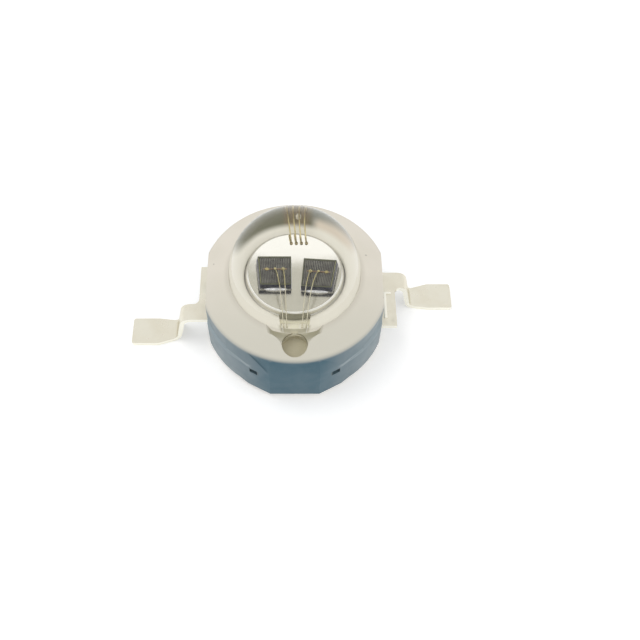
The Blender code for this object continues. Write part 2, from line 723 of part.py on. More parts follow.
def make_die_stack(shop, label, centre, turn_deg, looks):
    """Attach layer, die and contact bar, and the shape that keeps the gel clear of them."""
    attach_width = DIE_WIDTH + 2.0 * ATTACH_MARGIN
    base = SLUG_TOP_HEIGHT + CONTACT_GAP
    attach = slab(
        shop, f"die_attach_{label}", attach_width, attach_width, ATTACH_THICKNESS,
        die_matrix(centre, turn_deg, base),
    )
    die = slab(
        shop, f"die_{label}", DIE_WIDTH, DIE_WIDTH, DIE_THICKNESS,
        die_matrix(centre, turn_deg, base + ATTACH_THICKNESS + CONTACT_GAP),
    )
    top = die_matrix(centre, turn_deg, die_top() + CONTACT_GAP) @ Matrix.Translation((0.0, BAR_OFFSET, 0.0))
    contact = slab(shop, f"contact_bar_{label}", BAR_LENGTH, BAR_WIDTH, CONTACT_THICKNESS, top)
    for side in (-1, 1):
        name = f"{label}_pad_{'a' if side < 0 else 'b'}"
        pad = shop.disc(name, BOND_PAD_RADIUS, 0.0, CONTACT_THICKNESS, steps=SMALL_HOLE_STEPS)
        offset = Matrix.Translation((0.5 * side * BOND_PAD_SPACING, 0.0, 0.5 * CONTACT_THICKNESS))
        pad.matrix_local = top @ offset
        combine(contact, shop.as_cutter(pad), "UNION")
    finish(attach, looks["attach"])
    finish(die, looks["die"])
    finish(contact, looks["gold"])
    clear_base = die_matrix(centre, turn_deg, SLUG_TOP_HEIGHT - FIT_GAP)
    clear_low = slab(
        shop, f"{label}_attach_room", attach_width + 2 * FIT_GAP, attach_width + 2 * FIT_GAP,
        ATTACH_THICKNESS + CONTACT_GAP + 2 * FIT_GAP, clear_base,
    )
    clear_high = slab(
        shop, f"{label}_die_room", DIE_WIDTH + 2 * FIT_GAP, DIE_WIDTH + 2 * FIT_GAP,
        die_top() + CONTACT_GAP + CONTACT_THICKNESS + 2 * FIT_GAP - SLUG_TOP_HEIGHT, clear_base,
    )
    combine(clear_high, shop.as_cutter(clear_low), "UNION")
    return clear_high


def bar_places(centre, turn_deg, offsets):
    """Places on a die's contact bar, by their offsets from its middle."""
    turn = Matrix.Rotation(math.radians(turn_deg), 2)
    spots = [Vector(centre) + turn @ Vector((offset, BAR_OFFSET)) for offset in offsets]
    return [(spot.x, spot.y) for spot in spots]


def wire_path(start, end, arch):
    """Points of a bond wire: ball, rise, arch and the stitch that lies on the post."""
    start, end = Vector(start), Vector(end)
    points = [start + Vector((0.0, 0.0, rise)) for rise in (0.0, BALL_HEIGHT, BALL_NECK_HEIGHT)]
    lifted = start + Vector((0.0, 0.0, WIRE_RISE))
    direction = (end - start).normalized()
    stitch = Vector((direction.x, direction.y, 0.0)).normalized() * STITCH_LENGTH
    touch = end + Vector((0.0, 0.0, WIRE_RADIUS))
    for i in range(WIRE_STEPS + 1):
        t = i / WIRE_STEPS
        point = lifted.lerp(touch, t)
        point.z += 4.0 * arch * t * (1.0 - t)
        points.append(point)
    points.append(touch + stitch)
    return points


def make_wire(shop, name, path, radius):
    """A round gold wire along its path, with the ball as a swell at its first two points."""
    curve = bpy.data.curves.new(name, "CURVE")
    curve.dimensions = "3D"
    curve.bevel_depth = radius
    curve.bevel_resolution = WIRE_ROUNDING
    curve.use_fill_caps = True
    spline = curve.splines.new("POLY")
    spline.points.add(len(path) - 1)
    for index, (point, place) in enumerate(zip(spline.points, path)):
        point.co = (*place, 1.0)
        point.radius = BALL_SWELL if index < 2 else 1.0
    return shop.add(name, curve)


def make_wires(shop, gold):
    """The wires from the dies' bars to the front post, and those from the slug to the back post."""
    rooms = []
    inner_pad = 0.5 * BOND_PAD_SPACING
    front_starts = bar_places(LEFT_DIE_CENTRE, LEFT_DIE_TURN_DEG, (0.0, inner_pad))
    front_starts += bar_places(RIGHT_DIE_CENTRE, RIGHT_DIE_TURN_DEG, (-inner_pad, 0.0))
    pad_height = die_top() + CONTACT_GAP + CONTACT_THICKNESS + CONTACT_GAP
    post_height = post_top_height() + CONTACT_GAP
    offsets = [index - 0.5 * (WIRES_PER_POST - 1) for index in range(WIRES_PER_POST)]
    for index, (x, y) in enumerate(front_starts):
        end = (POST_BOND_CENTRE + offsets[index] * FRONT_BOND_SPACING, -POST_BOND_DISTANCE, post_height)
        path = wire_path((x, y, pad_height), end, FRONT_WIRE_ARCH)
        finish(make_wire(shop, f"front_wire_{index + 1}", path, WIRE_RADIUS), gold)
        rooms.append(wire_room(shop, f"front_wire_room_{index + 1}", path))
    for index, offset in enumerate(offsets):
        start_x = SLUG_BOND_CENTRE + offset * SLUG_BOND_SPACING
        start = (start_x, SLUG_BOND_DISTANCE, SLUG_TOP_HEIGHT + CONTACT_GAP)
        end = (POST_BOND_CENTRE + offset * BACK_BOND_SPACING, POST_BOND_DISTANCE, post_height)
        path = wire_path(start, end, BACK_WIRE_ARCH)
        finish(make_wire(shop, f"back_wire_{index + 1}", path, WIRE_RADIUS), gold)
        rooms.append(wire_room(shop, f"back_wire_room_{index + 1}", path))
    return rooms


def wire_room(shop, name, path):
    """The wire's tunnel in the gel."""
    return shop.to_mesh(make_wire(shop, name, path, WIRE_RADIUS + FIT_GAP))


def build():
    """Model the whole LED."""
    clear_scene()
    shop = Workshop()
    looks = {
        "silver": make_material("silver_plate", SILVER_PLATE),
        "plastic": make_material("white_plastic", WHITE_PLASTIC),
        "lens": make_material("clear_lens", CLEAR_LENS),
        "gel": make_material("clear_gel", CLEAR_GEL),
        "die": make_material("dark_die", DARK_DIE),
        "attach": make_material("grey_attach", GREY_ATTACH),
        "gold": make_material("gold", GOLD),
    }
    finish(make_slug(shop), looks["silver"])
    finish(make_housing(shop), looks["plastic"])
    finish(make_lead(shop, "lead_left", -1), looks["silver"])
    finish(make_lead(shop, "lead_right", 1), looks["silver"])
    die_rooms = [
        make_die_stack(shop, "left", LEFT_DIE_CENTRE, LEFT_DIE_TURN_DEG, looks),
        make_die_stack(shop, "right", RIGHT_DIE_CENTRE, RIGHT_DIE_TURN_DEG, looks),
    ]
    wire_rooms = make_wires(shop, looks["gold"])
    finish(make_gel(shop, die_rooms, wire_rooms), looks["gel"])
    finish(make_lens(shop), looks["lens"])
    bpy.context.view_layer.update()


build()
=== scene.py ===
"""Dresses the high-power infrared LED: a moulded white housing on a silver-plated slug, with two
gull-wing leads, and a clear dome over two dark dies with their gold bond wires."""

import logging
import math
from dataclasses import dataclass
from enum import Enum

import bmesh
import bpy
from mathutils import Matrix, Vector


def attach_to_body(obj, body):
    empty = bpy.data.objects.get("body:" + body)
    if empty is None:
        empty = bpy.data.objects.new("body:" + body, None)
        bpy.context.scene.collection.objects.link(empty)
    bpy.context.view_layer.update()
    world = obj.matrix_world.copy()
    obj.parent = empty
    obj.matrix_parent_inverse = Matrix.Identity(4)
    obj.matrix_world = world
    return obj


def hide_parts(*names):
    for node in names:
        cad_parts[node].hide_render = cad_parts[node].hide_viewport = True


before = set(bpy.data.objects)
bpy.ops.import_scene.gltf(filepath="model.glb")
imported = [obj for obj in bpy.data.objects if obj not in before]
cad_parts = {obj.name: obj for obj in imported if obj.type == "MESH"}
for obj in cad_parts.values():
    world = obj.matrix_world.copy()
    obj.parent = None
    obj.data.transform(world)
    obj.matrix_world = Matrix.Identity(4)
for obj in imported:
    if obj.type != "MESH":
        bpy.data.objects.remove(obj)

LOG = logging.getLogger("infrared_led")

METRES_PER_MM = 0.001
ROOT_BODY = "root"
MERGE_MM = 1e-5
ROUND_SEGMENTS = 2
ROUND_ABOVE_DEG = 35.0
NODE_COLUMNS = 12
NODE_STEP = (180.0, -220.0)

Piece = bpy.types.Object
Material = bpy.types.Material
NodeTree = bpy.types.NodeTree
Node = bpy.types.Node
Socket = bpy.types.NodeSocket
Range = tuple[float, float]
Point2 = tuple[float, float]
Point3 = tuple[float, float, float]
Colour = tuple[float, float, float, float]
Bands = tuple[tuple[str, float, float], ...]
Places = dict[str, Socket]


class Side(Enum):
    """The lead on the left or on the right of the photograph."""

    LEFT = -1
    RIGHT = 1

    @property
    def label(self) -> str:
        """The word that node names use for this side."""
        return self.name.lower()


class End(Enum):
    """The end of the housing towards the viewer, or away from them."""

    FRONT = -1
    BACK = 1

    @property
    def label(self) -> str:
        """The word that node names use for this end."""
        return self.name.lower()


class Join(Enum):
    """What a Boolean does with its cutter."""

    ADD = "UNION"
    CUT = "DIFFERENCE"
    KEEP = "INTERSECT"


def arc(centre: Point2, radius: float, start_deg: float, end_deg: float, steps: int) -> list[Point2]:
    """Points along an arc.

    Args:
        centre: The arc's centre.
        radius: Its radius.
        start_deg: Angle of the first point.
        end_deg: Angle of the last point.
        steps: Number of stretches between them.

    Returns:
        The points, both ends included.
    """
    angles = [math.radians(start_deg + (end_deg - start_deg) * i / steps) for i in range(steps + 1)]
    return [(centre[0] + radius * math.cos(a), centre[1] + radius * math.sin(a)) for a in angles]


def filleted(corners: list[Point2], radii: list[float], steps: int) -> list[Point2]:
    """A line through corners, with each inner corner rounded by its radius.

    Args:
        corners: The corners, both ends included.
        radii: Radius of each inner corner, in order.
        steps: Number of stretches of each round.

    Returns:
        The points of the rounded line.
    """
    points = [corners[0]]
    for before, corner, after, radius in zip(corners, corners[1:], corners[2:], radii):
        here = Vector(corner)
        back, ahead = (Vector(before) - here).normalized(), (Vector(after) - here).normalized()
        half = 0.5 * back.angle(ahead)
        centre = here + (back + ahead).normalized() * (radius / math.sin(half))
        start = here + back * (radius / math.tan(half)) - centre
        sweep = math.pi - 2.0 * half
        turn = 1.0 if back.x * ahead.y - back.y * ahead.x < 0.0 else -1.0
        first = math.degrees(math.atan2(start.y, start.x))
        points += arc((centre.x, centre.y), radius, first, first + turn * math.degrees(sweep), steps)
    return [*points, corners[-1]]


def circle(centre: Point2, radius: float, steps: int) -> list[Point2]:
    """The corners of a round outline."""
    return arc(centre, radius, 0.0, 360.0 * (steps - 1) / steps, steps - 1)


def half_turned(points: list[Point2], sign: int) -> list[Point2]:
    """The outline as it is for sign 1, and turned by half a turn for sign -1."""
    return [(sign * x, sign * y) for x, y in points]


class Bench:
    """Makes and joins meshes in millimetres, and settles a finished one in metres."""

    @staticmethod
    def link(name: str, mesh: bpy.types.Mesh) -> Piece:
        """A new object of the mesh, linked to the scene.

        Args:
            name: The object's name.
            mesh: Its mesh.

        Returns:
            The object.
        """
        obj = bpy.data.objects.new(name, mesh)
        bpy.context.scene.collection.objects.link(obj)
        return obj

    @staticmethod
    def solid(name: str, shape: bmesh.types.BMesh) -> Piece:
        """A linked object of a closed shape, its faces turned outwards; the shape is used up.

        Args:
            name: The object's name.
            shape: The closed shape.

        Returns:
            The object.
        """
        bmesh.ops.recalc_face_normals(shape, faces=shape.faces)
        mesh = bpy.data.meshes.new(name)
        shape.to_mesh(mesh)
        shape.free()
        return Bench.link(name, mesh)

    @staticmethod
    def lathe(name: str, profile: list[Point2], steps: int, closed: bool = False) -> Piece:
        """Turn a section about Z.

        Args:
            name: The object's name.
            profile: Points (radius, height), down the outer side.
            steps: Number of faces round the axis.
            closed: True where the section is a ring that stays off the axis.

        Returns:
            The turned object, a plain mesh.
        """
        shape = bmesh.new()
        verts = [shape.verts.new((radius, 0.0, height)) for radius, height in profile]
        pairs = list(zip(verts, verts[1:]))
        if closed:
            pairs.append((verts[-1], verts[0]))
        edges = [shape.edges.new(pair) for pair in pairs]
        bmesh.ops.spin(
            shape, geom=verts + edges, cent=(0.0, 0.0, 0.0), axis=(0.0, 0.0, 1.0),
            angle=math.tau, steps=steps, use_merge=True,
        )
        bmesh.ops.remove_doubles(shape, verts=shape.verts, dist=MERGE_MM)
        return Bench.solid(name, shape)

    @staticmethod
    def prism(name: str, outline: list[Point2], low: float, high: float) -> Piece:
        """Raise a flat outline, given in order round the shape, between two heights.

        Args:
            name: The object's name.
            outline: Points (x, y).
            low: Height of the underside.
            high: Height of the top.

        Returns:
            The closed prism.
        """
        shape = bmesh.new()
        base = shape.faces.new([shape.verts.new((x, y, low)) for x, y in outline])
        raised = bmesh.ops.extrude_face_region(shape, geom=[base])
        top = [item for item in raised["geom"] if isinstance(item, bmesh.types.BMVert)]
        bmesh.ops.translate(shape, vec=(0.0, 0.0, high - low), verts=top)
        return Bench.solid(name, shape)

    @staticmethod
    def loft(name: str, outlines: list[list[Point2]], heights: list[float]) -> Piece:
        """A closed solid through outlines with as many corners each, one over the other.

        Args:
            name: The object's name.
            outlines: One outline for each height, counter-clockwise.
            heights: The heights, from the lowest up.

        Returns:
            The solid.
        """
        shape = bmesh.new()
        rings = [[shape.verts.new((x, y, z)) for x, y in outline] for outline, z in zip(outlines, heights)]
        shape.faces.new(reversed(rings[0]))
        shape.faces.new(rings[-1])
        for lower, upper in zip(rings, rings[1:]):
            for i in range(len(lower)):
                j = (i + 1) % len(lower)
                shape.faces.new((lower[i], lower[j], upper[j], upper[i]))
        return Bench.solid(name, shape)

    @staticmethod
    def disc(name: str, radius: float, low: float, high: float, centre: Point2, steps: int) -> Piece:
        """A round block between two heights."""
        return Bench.prism(name, circle(centre, radius, steps), low, high)

    @staticmethod
    def block(name: str, size: Point3, centre: Point3, turn_deg: float = 0.0) -> Piece:
        """A box about its centre, turned about Z.

        Args:
            name: The object's name.
            size: Its three sides.
            centre: Its middle.
            turn_deg: Its turn.

        Returns:
            The box.
        """
        shape = bmesh.new()
        place = Matrix.Translation(centre) @ Matrix.Rotation(math.radians(turn_deg), 4, "Z")
        bmesh.ops.create_cube(shape, size=1.0, matrix=place @ Matrix.Diagonal((*size, 1.0)))
        return Bench.solid(name, shape)

    @staticmethod
    def ellipsoid(name: str, size: Point3, place: Matrix, segments: int) -> Piece:
        """A round body of these three diameters in its place, with this many segments round it.

        Args:
            name: The object's name.
            size: The diameters.
            place: Its place and turn.
            segments: Faces once round it.

        Returns:
            The round body.
        """
        shape = bmesh.new()
        bmesh.ops.create_uvsphere(
            shape, u_segments=segments, v_segments=segments // 2, radius=0.5,
            matrix=place @ Matrix.Diagonal((*size, 1.0)),
        )
        return Bench.solid(name, shape)

    @staticmethod
    def combine(obj: Piece, cutter: Piece, join: Join) -> None:
        """Join, cut or keep what the cutter covers, and remove the cutter.

        Args:
            obj: The object that stays.
            cutter: The one that is used up.
            join: What is done with it.
        """
        boolean = obj.modifiers.new("combine", "BOOLEAN")
        boolean.operation = join.value
        boolean.solver = "EXACT"
        boolean.object = cutter
        Bench.bake(obj)
        bpy.data.objects.remove(cutter, do_unlink=True)

    @staticmethod
    def bake(obj: Piece) -> None:
        """Turn the object's modifiers into plain mesh.

        Args:
            obj: The object, whose old mesh is dropped.
        """
        bpy.context.view_layer.update()
        graph = bpy.context.evaluated_depsgraph_get()
        mesh = bpy.data.meshes.new_from_object(obj.evaluated_get(graph))
        obj.modifiers.clear()
        old = obj.data
        obj.data = mesh
        bpy.data.meshes.remove(old)

    @staticmethod
    def round_edges(obj: Piece, width: float) -> None:
        """Round the sharp edges by a width in millimetres.

        Args:
            obj: The object.
            width: How far the round reaches from the edge.
        """
        bevel = obj.modifiers.new("round", "BEVEL")
        bevel.width = width
        bevel.segments = ROUND_SEGMENTS
        bevel.limit_method = "ANGLE"
        bevel.angle_limit = math.radians(ROUND_ABOVE_DEG)
        Bench.bake(obj)

    @staticmethod
    def settle(
        obj: Piece, material: Material, slot: str, nodes: tuple[str, ...] = (),
        sharp_deg: float = 32.0, weighted: bool = True,
    ) -> Piece:
        """Bring a finished piece to metres, shade it and hand it to the frame.

        Args:
            obj: The piece, drawn in millimetres.
            material: Its finish.
            slot: The record's material slot that it belongs to; not used.
            nodes: The frame's nodes that it stands for.
            sharp_deg: Edges over this angle stay sharp.
            weighted: True to weight the corner normals by face area.

        Returns:
            The same piece, at the origin, unturned and unscaled.
        """
        mesh = obj.data
        mesh.transform(Matrix.Scale(METRES_PER_MM, 4) @ obj.matrix_world)
        obj.matrix_world = Matrix.Identity(4)
        mesh.materials.clear()
        mesh.materials.append(material)
        mesh.polygons.foreach_set("material_index", [0] * len(mesh.polygons))
        mesh.shade_smooth()
        mesh.set_sharp_from_angle(angle=math.radians(sharp_deg))
        if weighted:
            normals = obj.modifiers.new("weighted", "WEIGHTED_NORMAL")
            normals.keep_sharp = True
            Bench.bake(obj)
        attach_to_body(obj, ROOT_BODY)
        if nodes:
            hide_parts(*nodes)
        LOG.info("%s: %d faces, stands for %s", obj.name, len(obj.data.polygons), ", ".join(nodes) or "detail")
        return obj


class Canvas:
    """Places and joins nodes in one tree."""

    def __init__(self, tree: NodeTree) -> None:
        """Start on a tree."""
        self.tree = tree

    def add(self, kind: str, **settings: object) -> Node:
        """A node of this kind, with its settings.

        Args:
            kind: Blender's name for the node.
            settings: Its properties, by name.

        Returns:
            The node.
        """
        node = self.tree.nodes.new(kind)
        row, column = divmod(len(self.tree.nodes), NODE_COLUMNS)
        node.location = (NODE_STEP[0] * column, NODE_STEP[1] * row)
        for name, value in settings.items():
            setattr(node, name, value)
        return node

    def group(self, tree: NodeTree, **values: object) -> Node:
        """A group; an underscore in a value's name stands for a space in its socket's.

        Args:
            tree: The group.
            values: Links or plain values of its inputs.

        Returns:
            The group's node.
        """
        node = self.add("ShaderNodeGroup", node_tree=tree)
        for name, value in values.items():
            self.feed(node.inputs[name.replace("_", " ")], value)
        return node

    def feed(self, target: Socket, source: object) -> None:
        """Give a socket a link or a plain value."""
        if isinstance(source, Socket):
            self.tree.links.new(source, target)
        else:
            target.default_value = source

    def maths(self, operation: str, first: object, second: object = 0.0) -> Socket:
        """A Math node's result.

        Args:
            operation: Blender's name for it.
            first: First number.
            second: Second number, where there is one.

        Returns:
            The result.
        """
        node = self.add("ShaderNodeMath", operation=operation)
        for socket, value in zip(node.inputs, (first, second)):
            self.feed(socket, value)
        return node.outputs[0]

    def span(self, value: object, low: object, high: object, to_low: object = 0.0, to_high: object = 1.0,
             smooth: bool = True) -> Socket:
        """A value carried from one range to another, eased at both ends.

        Args:
            value: The value.
            low: Start of its range.
            high: End of its range.
            to_low: What the start becomes.
            to_high: What the end becomes.
            smooth: False for a straight line.

        Returns:
            The carried value.
        """
        node = self.add("ShaderNodeMapRange", interpolation_type="SMOOTHSTEP" if smooth else "LINEAR")
        for socket, given in zip(node.inputs, (value, low, high, to_low, to_high)):
            self.feed(socket, given)
        return node.outputs[0]

    def blend(self, factor: object, first: object, second: object) -> Socket:
        """One number eased into another."""
        return self.span(factor, 0.0, 1.0, first, second)

    def region(self, places: Places, bands: Bands) -> Socket:
        """A mask over a region: each band names a coordinate, where the mask is nil and where it is full.

        Args:
            places: Coordinates of the surface, by name.
            bands: The bands, whose masks are multiplied.

        Returns:
            The mask.
        """
        masks = [
            self.span(places[name], nil, full) if nil < full else self.span(places[name], full, nil, 1.0, 0.0)
            for name, nil, full in bands
        ]
        result = masks[0]
        for mask in masks[1:]:
            result = self.maths("MULTIPLY", result, mask)
        return result

    def mix(self, factor: object, first: object, second: object) -> Socket:
        """One colour mixed with another.

        Args:
            factor: Share of the second.
            first: First colour.
            second: Second colour.

        Returns:
            The mixed colour.
        """
        node = self.add("ShaderNodeMix", data_type="RGBA")
        self.feed(node.inputs["Factor"], factor)
        self.feed(node.inputs[6], first)
        self.feed(node.inputs[7], second)
        return node.outputs[2]

    def noise(self, vector: object, scale: object, detail: float, roughness: float) -> Socket:
        """A noise between 0 and 1.

        Args:
            vector: Place.
            scale: Fineness.
            detail: Number of finer layers.
            roughness: Their strength.

        Returns:
            The noise.
        """
        node = self.add("ShaderNodeTexNoise")
        for label, value in (("Vector", vector), ("Scale", scale), ("Detail", detail), ("Roughness", roughness)):
            self.feed(node.inputs[label], value)
        return node.outputs["Fac"]


def value_group(
    name: str, inputs: dict[str, float], outputs: tuple[str, ...]
) -> tuple[NodeTree, Canvas, Node, Node]:
    """An empty shader node group of plain values.

    Args:
        name: The group's name.
        inputs: Default value of each input.
        outputs: Name of each output.

    Returns:
        The group, a canvas to fill it with, its input node and its output node.
    """
    tree = bpy.data.node_groups.new(name, "ShaderNodeTree")
    for label, value in inputs.items():
        tree.interface.new_socket(label, in_out="INPUT", socket_type="NodeSocketFloat").default_value = value
    for label in outputs:
        tree.interface.new_socket(label, in_out="OUTPUT", socket_type="NodeSocketFloat")
    canvas = Canvas(tree)
    return tree, canvas, canvas.add("NodeGroupInput"), canvas.add("NodeGroupOutput")


class SharedEffects:
    """The shader node groups that several finishes use."""

    def __init__(self) -> None:
        """Build every group once."""
        self.mottle_tree = self.make_mottle()
        self.grain_tree = self.make_grain()
        self.specks_tree = self.make_specks()
        self.place_tree = self.make_place()

    @staticmethod
    def scaled_place(canvas: Canvas, given: Node) -> tuple[Socket, Socket]:
        """The place on the object, and the texture scale that gives features of the size asked for.

        Args:
            canvas: The group's canvas.
            given: Its input node.

        Returns:
            Both sockets.
        """
        place = canvas.add("ShaderNodeTexCoord").outputs["Object"]
        return place, canvas.maths("DIVIDE", 1.0 / METRES_PER_MM, given.outputs["Size mm"])

    @classmethod
    def make_mottle(cls) -> NodeTree:
        """A slow drift of a value over the surface.

        Returns:
            The group.
        """
        sizes = {"Size mm": 1.0, "Low": 0.0, "High": 1.0}
        tree, canvas, given, result = value_group("slow_mottle", sizes, ("Value",))
        noise = canvas.noise(*cls.scaled_place(canvas, given), 3.0, 0.55)
        canvas.feed(result.inputs[0], canvas.span(noise, 0.3, 0.7, given.outputs["Low"], given.outputs["High"]))
        return tree

    @classmethod
    def make_grain(cls) -> NodeTree:
        """A fine even grain, as a height for a bump.

        Returns:
            The group.
        """
        tree, canvas, given, result = value_group("fine_grain", {"Size mm": 0.05}, ("Height",))
        canvas.feed(result.inputs[0], canvas.noise(*cls.scaled_place(canvas, given), 2.0, 0.6))
        return tree

    @classmethod
    def make_specks(cls) -> NodeTree:
        """Sparse small dots, as a mask.

        Returns:
            The group.
        """
        tree, canvas, given, result = value_group("sparse_specks", {"Size mm": 0.5, "Amount": 0.1}, ("Mask",))
        place, scale = cls.scaled_place(canvas, given)
        cells = canvas.add("ShaderNodeTexVoronoi", feature="F1")
        canvas.feed(cells.inputs["Vector"], place)
        canvas.feed(cells.inputs["Scale"], scale)
        chosen = canvas.add("ShaderNodeSeparateColor")
        canvas.feed(chosen.inputs[0], cells.outputs["Color"])
        kept = canvas.maths("LESS_THAN", chosen.outputs[0], given.outputs["Amount"])
        dot = canvas.span(cells.outputs["Distance"], 0.04, 0.09, 1.0, 0.0)
        canvas.feed(result.inputs[0], canvas.maths("MULTIPLY", kept, dot))
        return tree

    @staticmethod
    def make_place() -> NodeTree:
        """Where a point of the surface lies on the object, in millimetres, and which way it faces.

        Returns:
            The group.
        """
        names = ("X", "Y", "Z", "Across", "Along", "Radius", "Upward", "Fore and aft")
        tree, canvas, _, result = value_group("place_in_mm", {}, names)
        scaled = canvas.add("ShaderNodeVectorMath", operation="SCALE")
        canvas.feed(scaled.inputs[0], canvas.add("ShaderNodeTexCoord").outputs["Object"])
        scaled.inputs["Scale"].default_value = 1.0 / METRES_PER_MM
        split = canvas.add("ShaderNodeSeparateXYZ")
        canvas.feed(split.inputs[0], scaled.outputs[0])
        x, y, z = split.outputs
        normal = canvas.add("ShaderNodeSeparateXYZ")
        canvas.feed(normal.inputs[0], canvas.add("ShaderNodeNewGeometry").outputs["Normal"])
        square = canvas.maths("ADD", canvas.maths("MULTIPLY", x, x), canvas.maths("MULTIPLY", y, y))
        values = (
            x, y, z, canvas.maths("ABSOLUTE", x), canvas.maths("ABSOLUTE", y), canvas.maths("SQRT", square),
            normal.outputs["Z"], canvas.maths("ABSOLUTE", normal.outputs["Y"]),
        )
        for socket, value in zip(result.inputs, values):
            canvas.feed(socket, value)
        return tree

    def places(self, canvas: Canvas) -> Places:
        """The coordinates of a point of the surface, by name."""
        return {socket.name: socket for socket in canvas.group(self.place_tree).outputs}

    def drift(self, canvas: Canvas, size_mm: float, low: float = 0.0, high: float = 1.0) -> Socket:
        """A value that drifts between two others, in patches of this size."""
        return canvas.group(self.mottle_tree, Size_mm=size_mm, Low=low, High=high).outputs[0]

    def grain(self, canvas: Canvas, shader: Node, grain: Point3) -> None:
        """Give a shader's normal a fine grain of this size in mm, strength and depth in mm.

        Args:
            canvas: The material's canvas.
            shader: Its shader.
            grain: Size, strength and depth.
        """
        size_mm, strength, depth_mm = grain
        node = canvas.add("ShaderNodeBump")
        node.inputs["Strength"].default_value = strength
        node.inputs["Distance"].default_value = depth_mm * METRES_PER_MM
        canvas.feed(node.inputs["Height"], canvas.group(self.grain_tree, Size_mm=size_mm).outputs[0])
        canvas.feed(shader.inputs["Normal"], node.outputs["Normal"])


def new_material(name: str) -> tuple[Material, Canvas, Node]:
    """A material with its canvas and its Principled shader.

    Args:
        name: The material's name.

    Returns:
        The material, the canvas and the shader.
    """
    material = bpy.data.materials.new(name)
    material.use_nodes = True
    canvas = Canvas(material.node_tree)
    return material, canvas, material.node_tree.nodes["Principled BSDF"]


@dataclass(frozen=True)
class Tint:
    """A colour that covers one region of a surface, and how fully."""

    name: str
    colour: Colour
    bands: Bands
    strength: float = 1.0


def paint(canvas: Canvas, places: Places, base: object, tints: tuple[Tint, ...]) -> Socket:
    """Lay tints over a base, one after the other.

    Args:
        canvas: Canvas of the material or group.
        places: Coordinates of the surface, by name.
        base: The colour below.
        tints: The tints, from the lowest up.

    Returns:
        The painted colour.
    """
    for tint in tints:
        cover = canvas.region(places, tint.bands)
        if tint.strength < 1.0:
            cover = canvas.maths("MULTIPLY", cover, tint.strength)
        base = canvas.mix(cover, base, tint.colour)
        base.node.label = tint.name
    return base


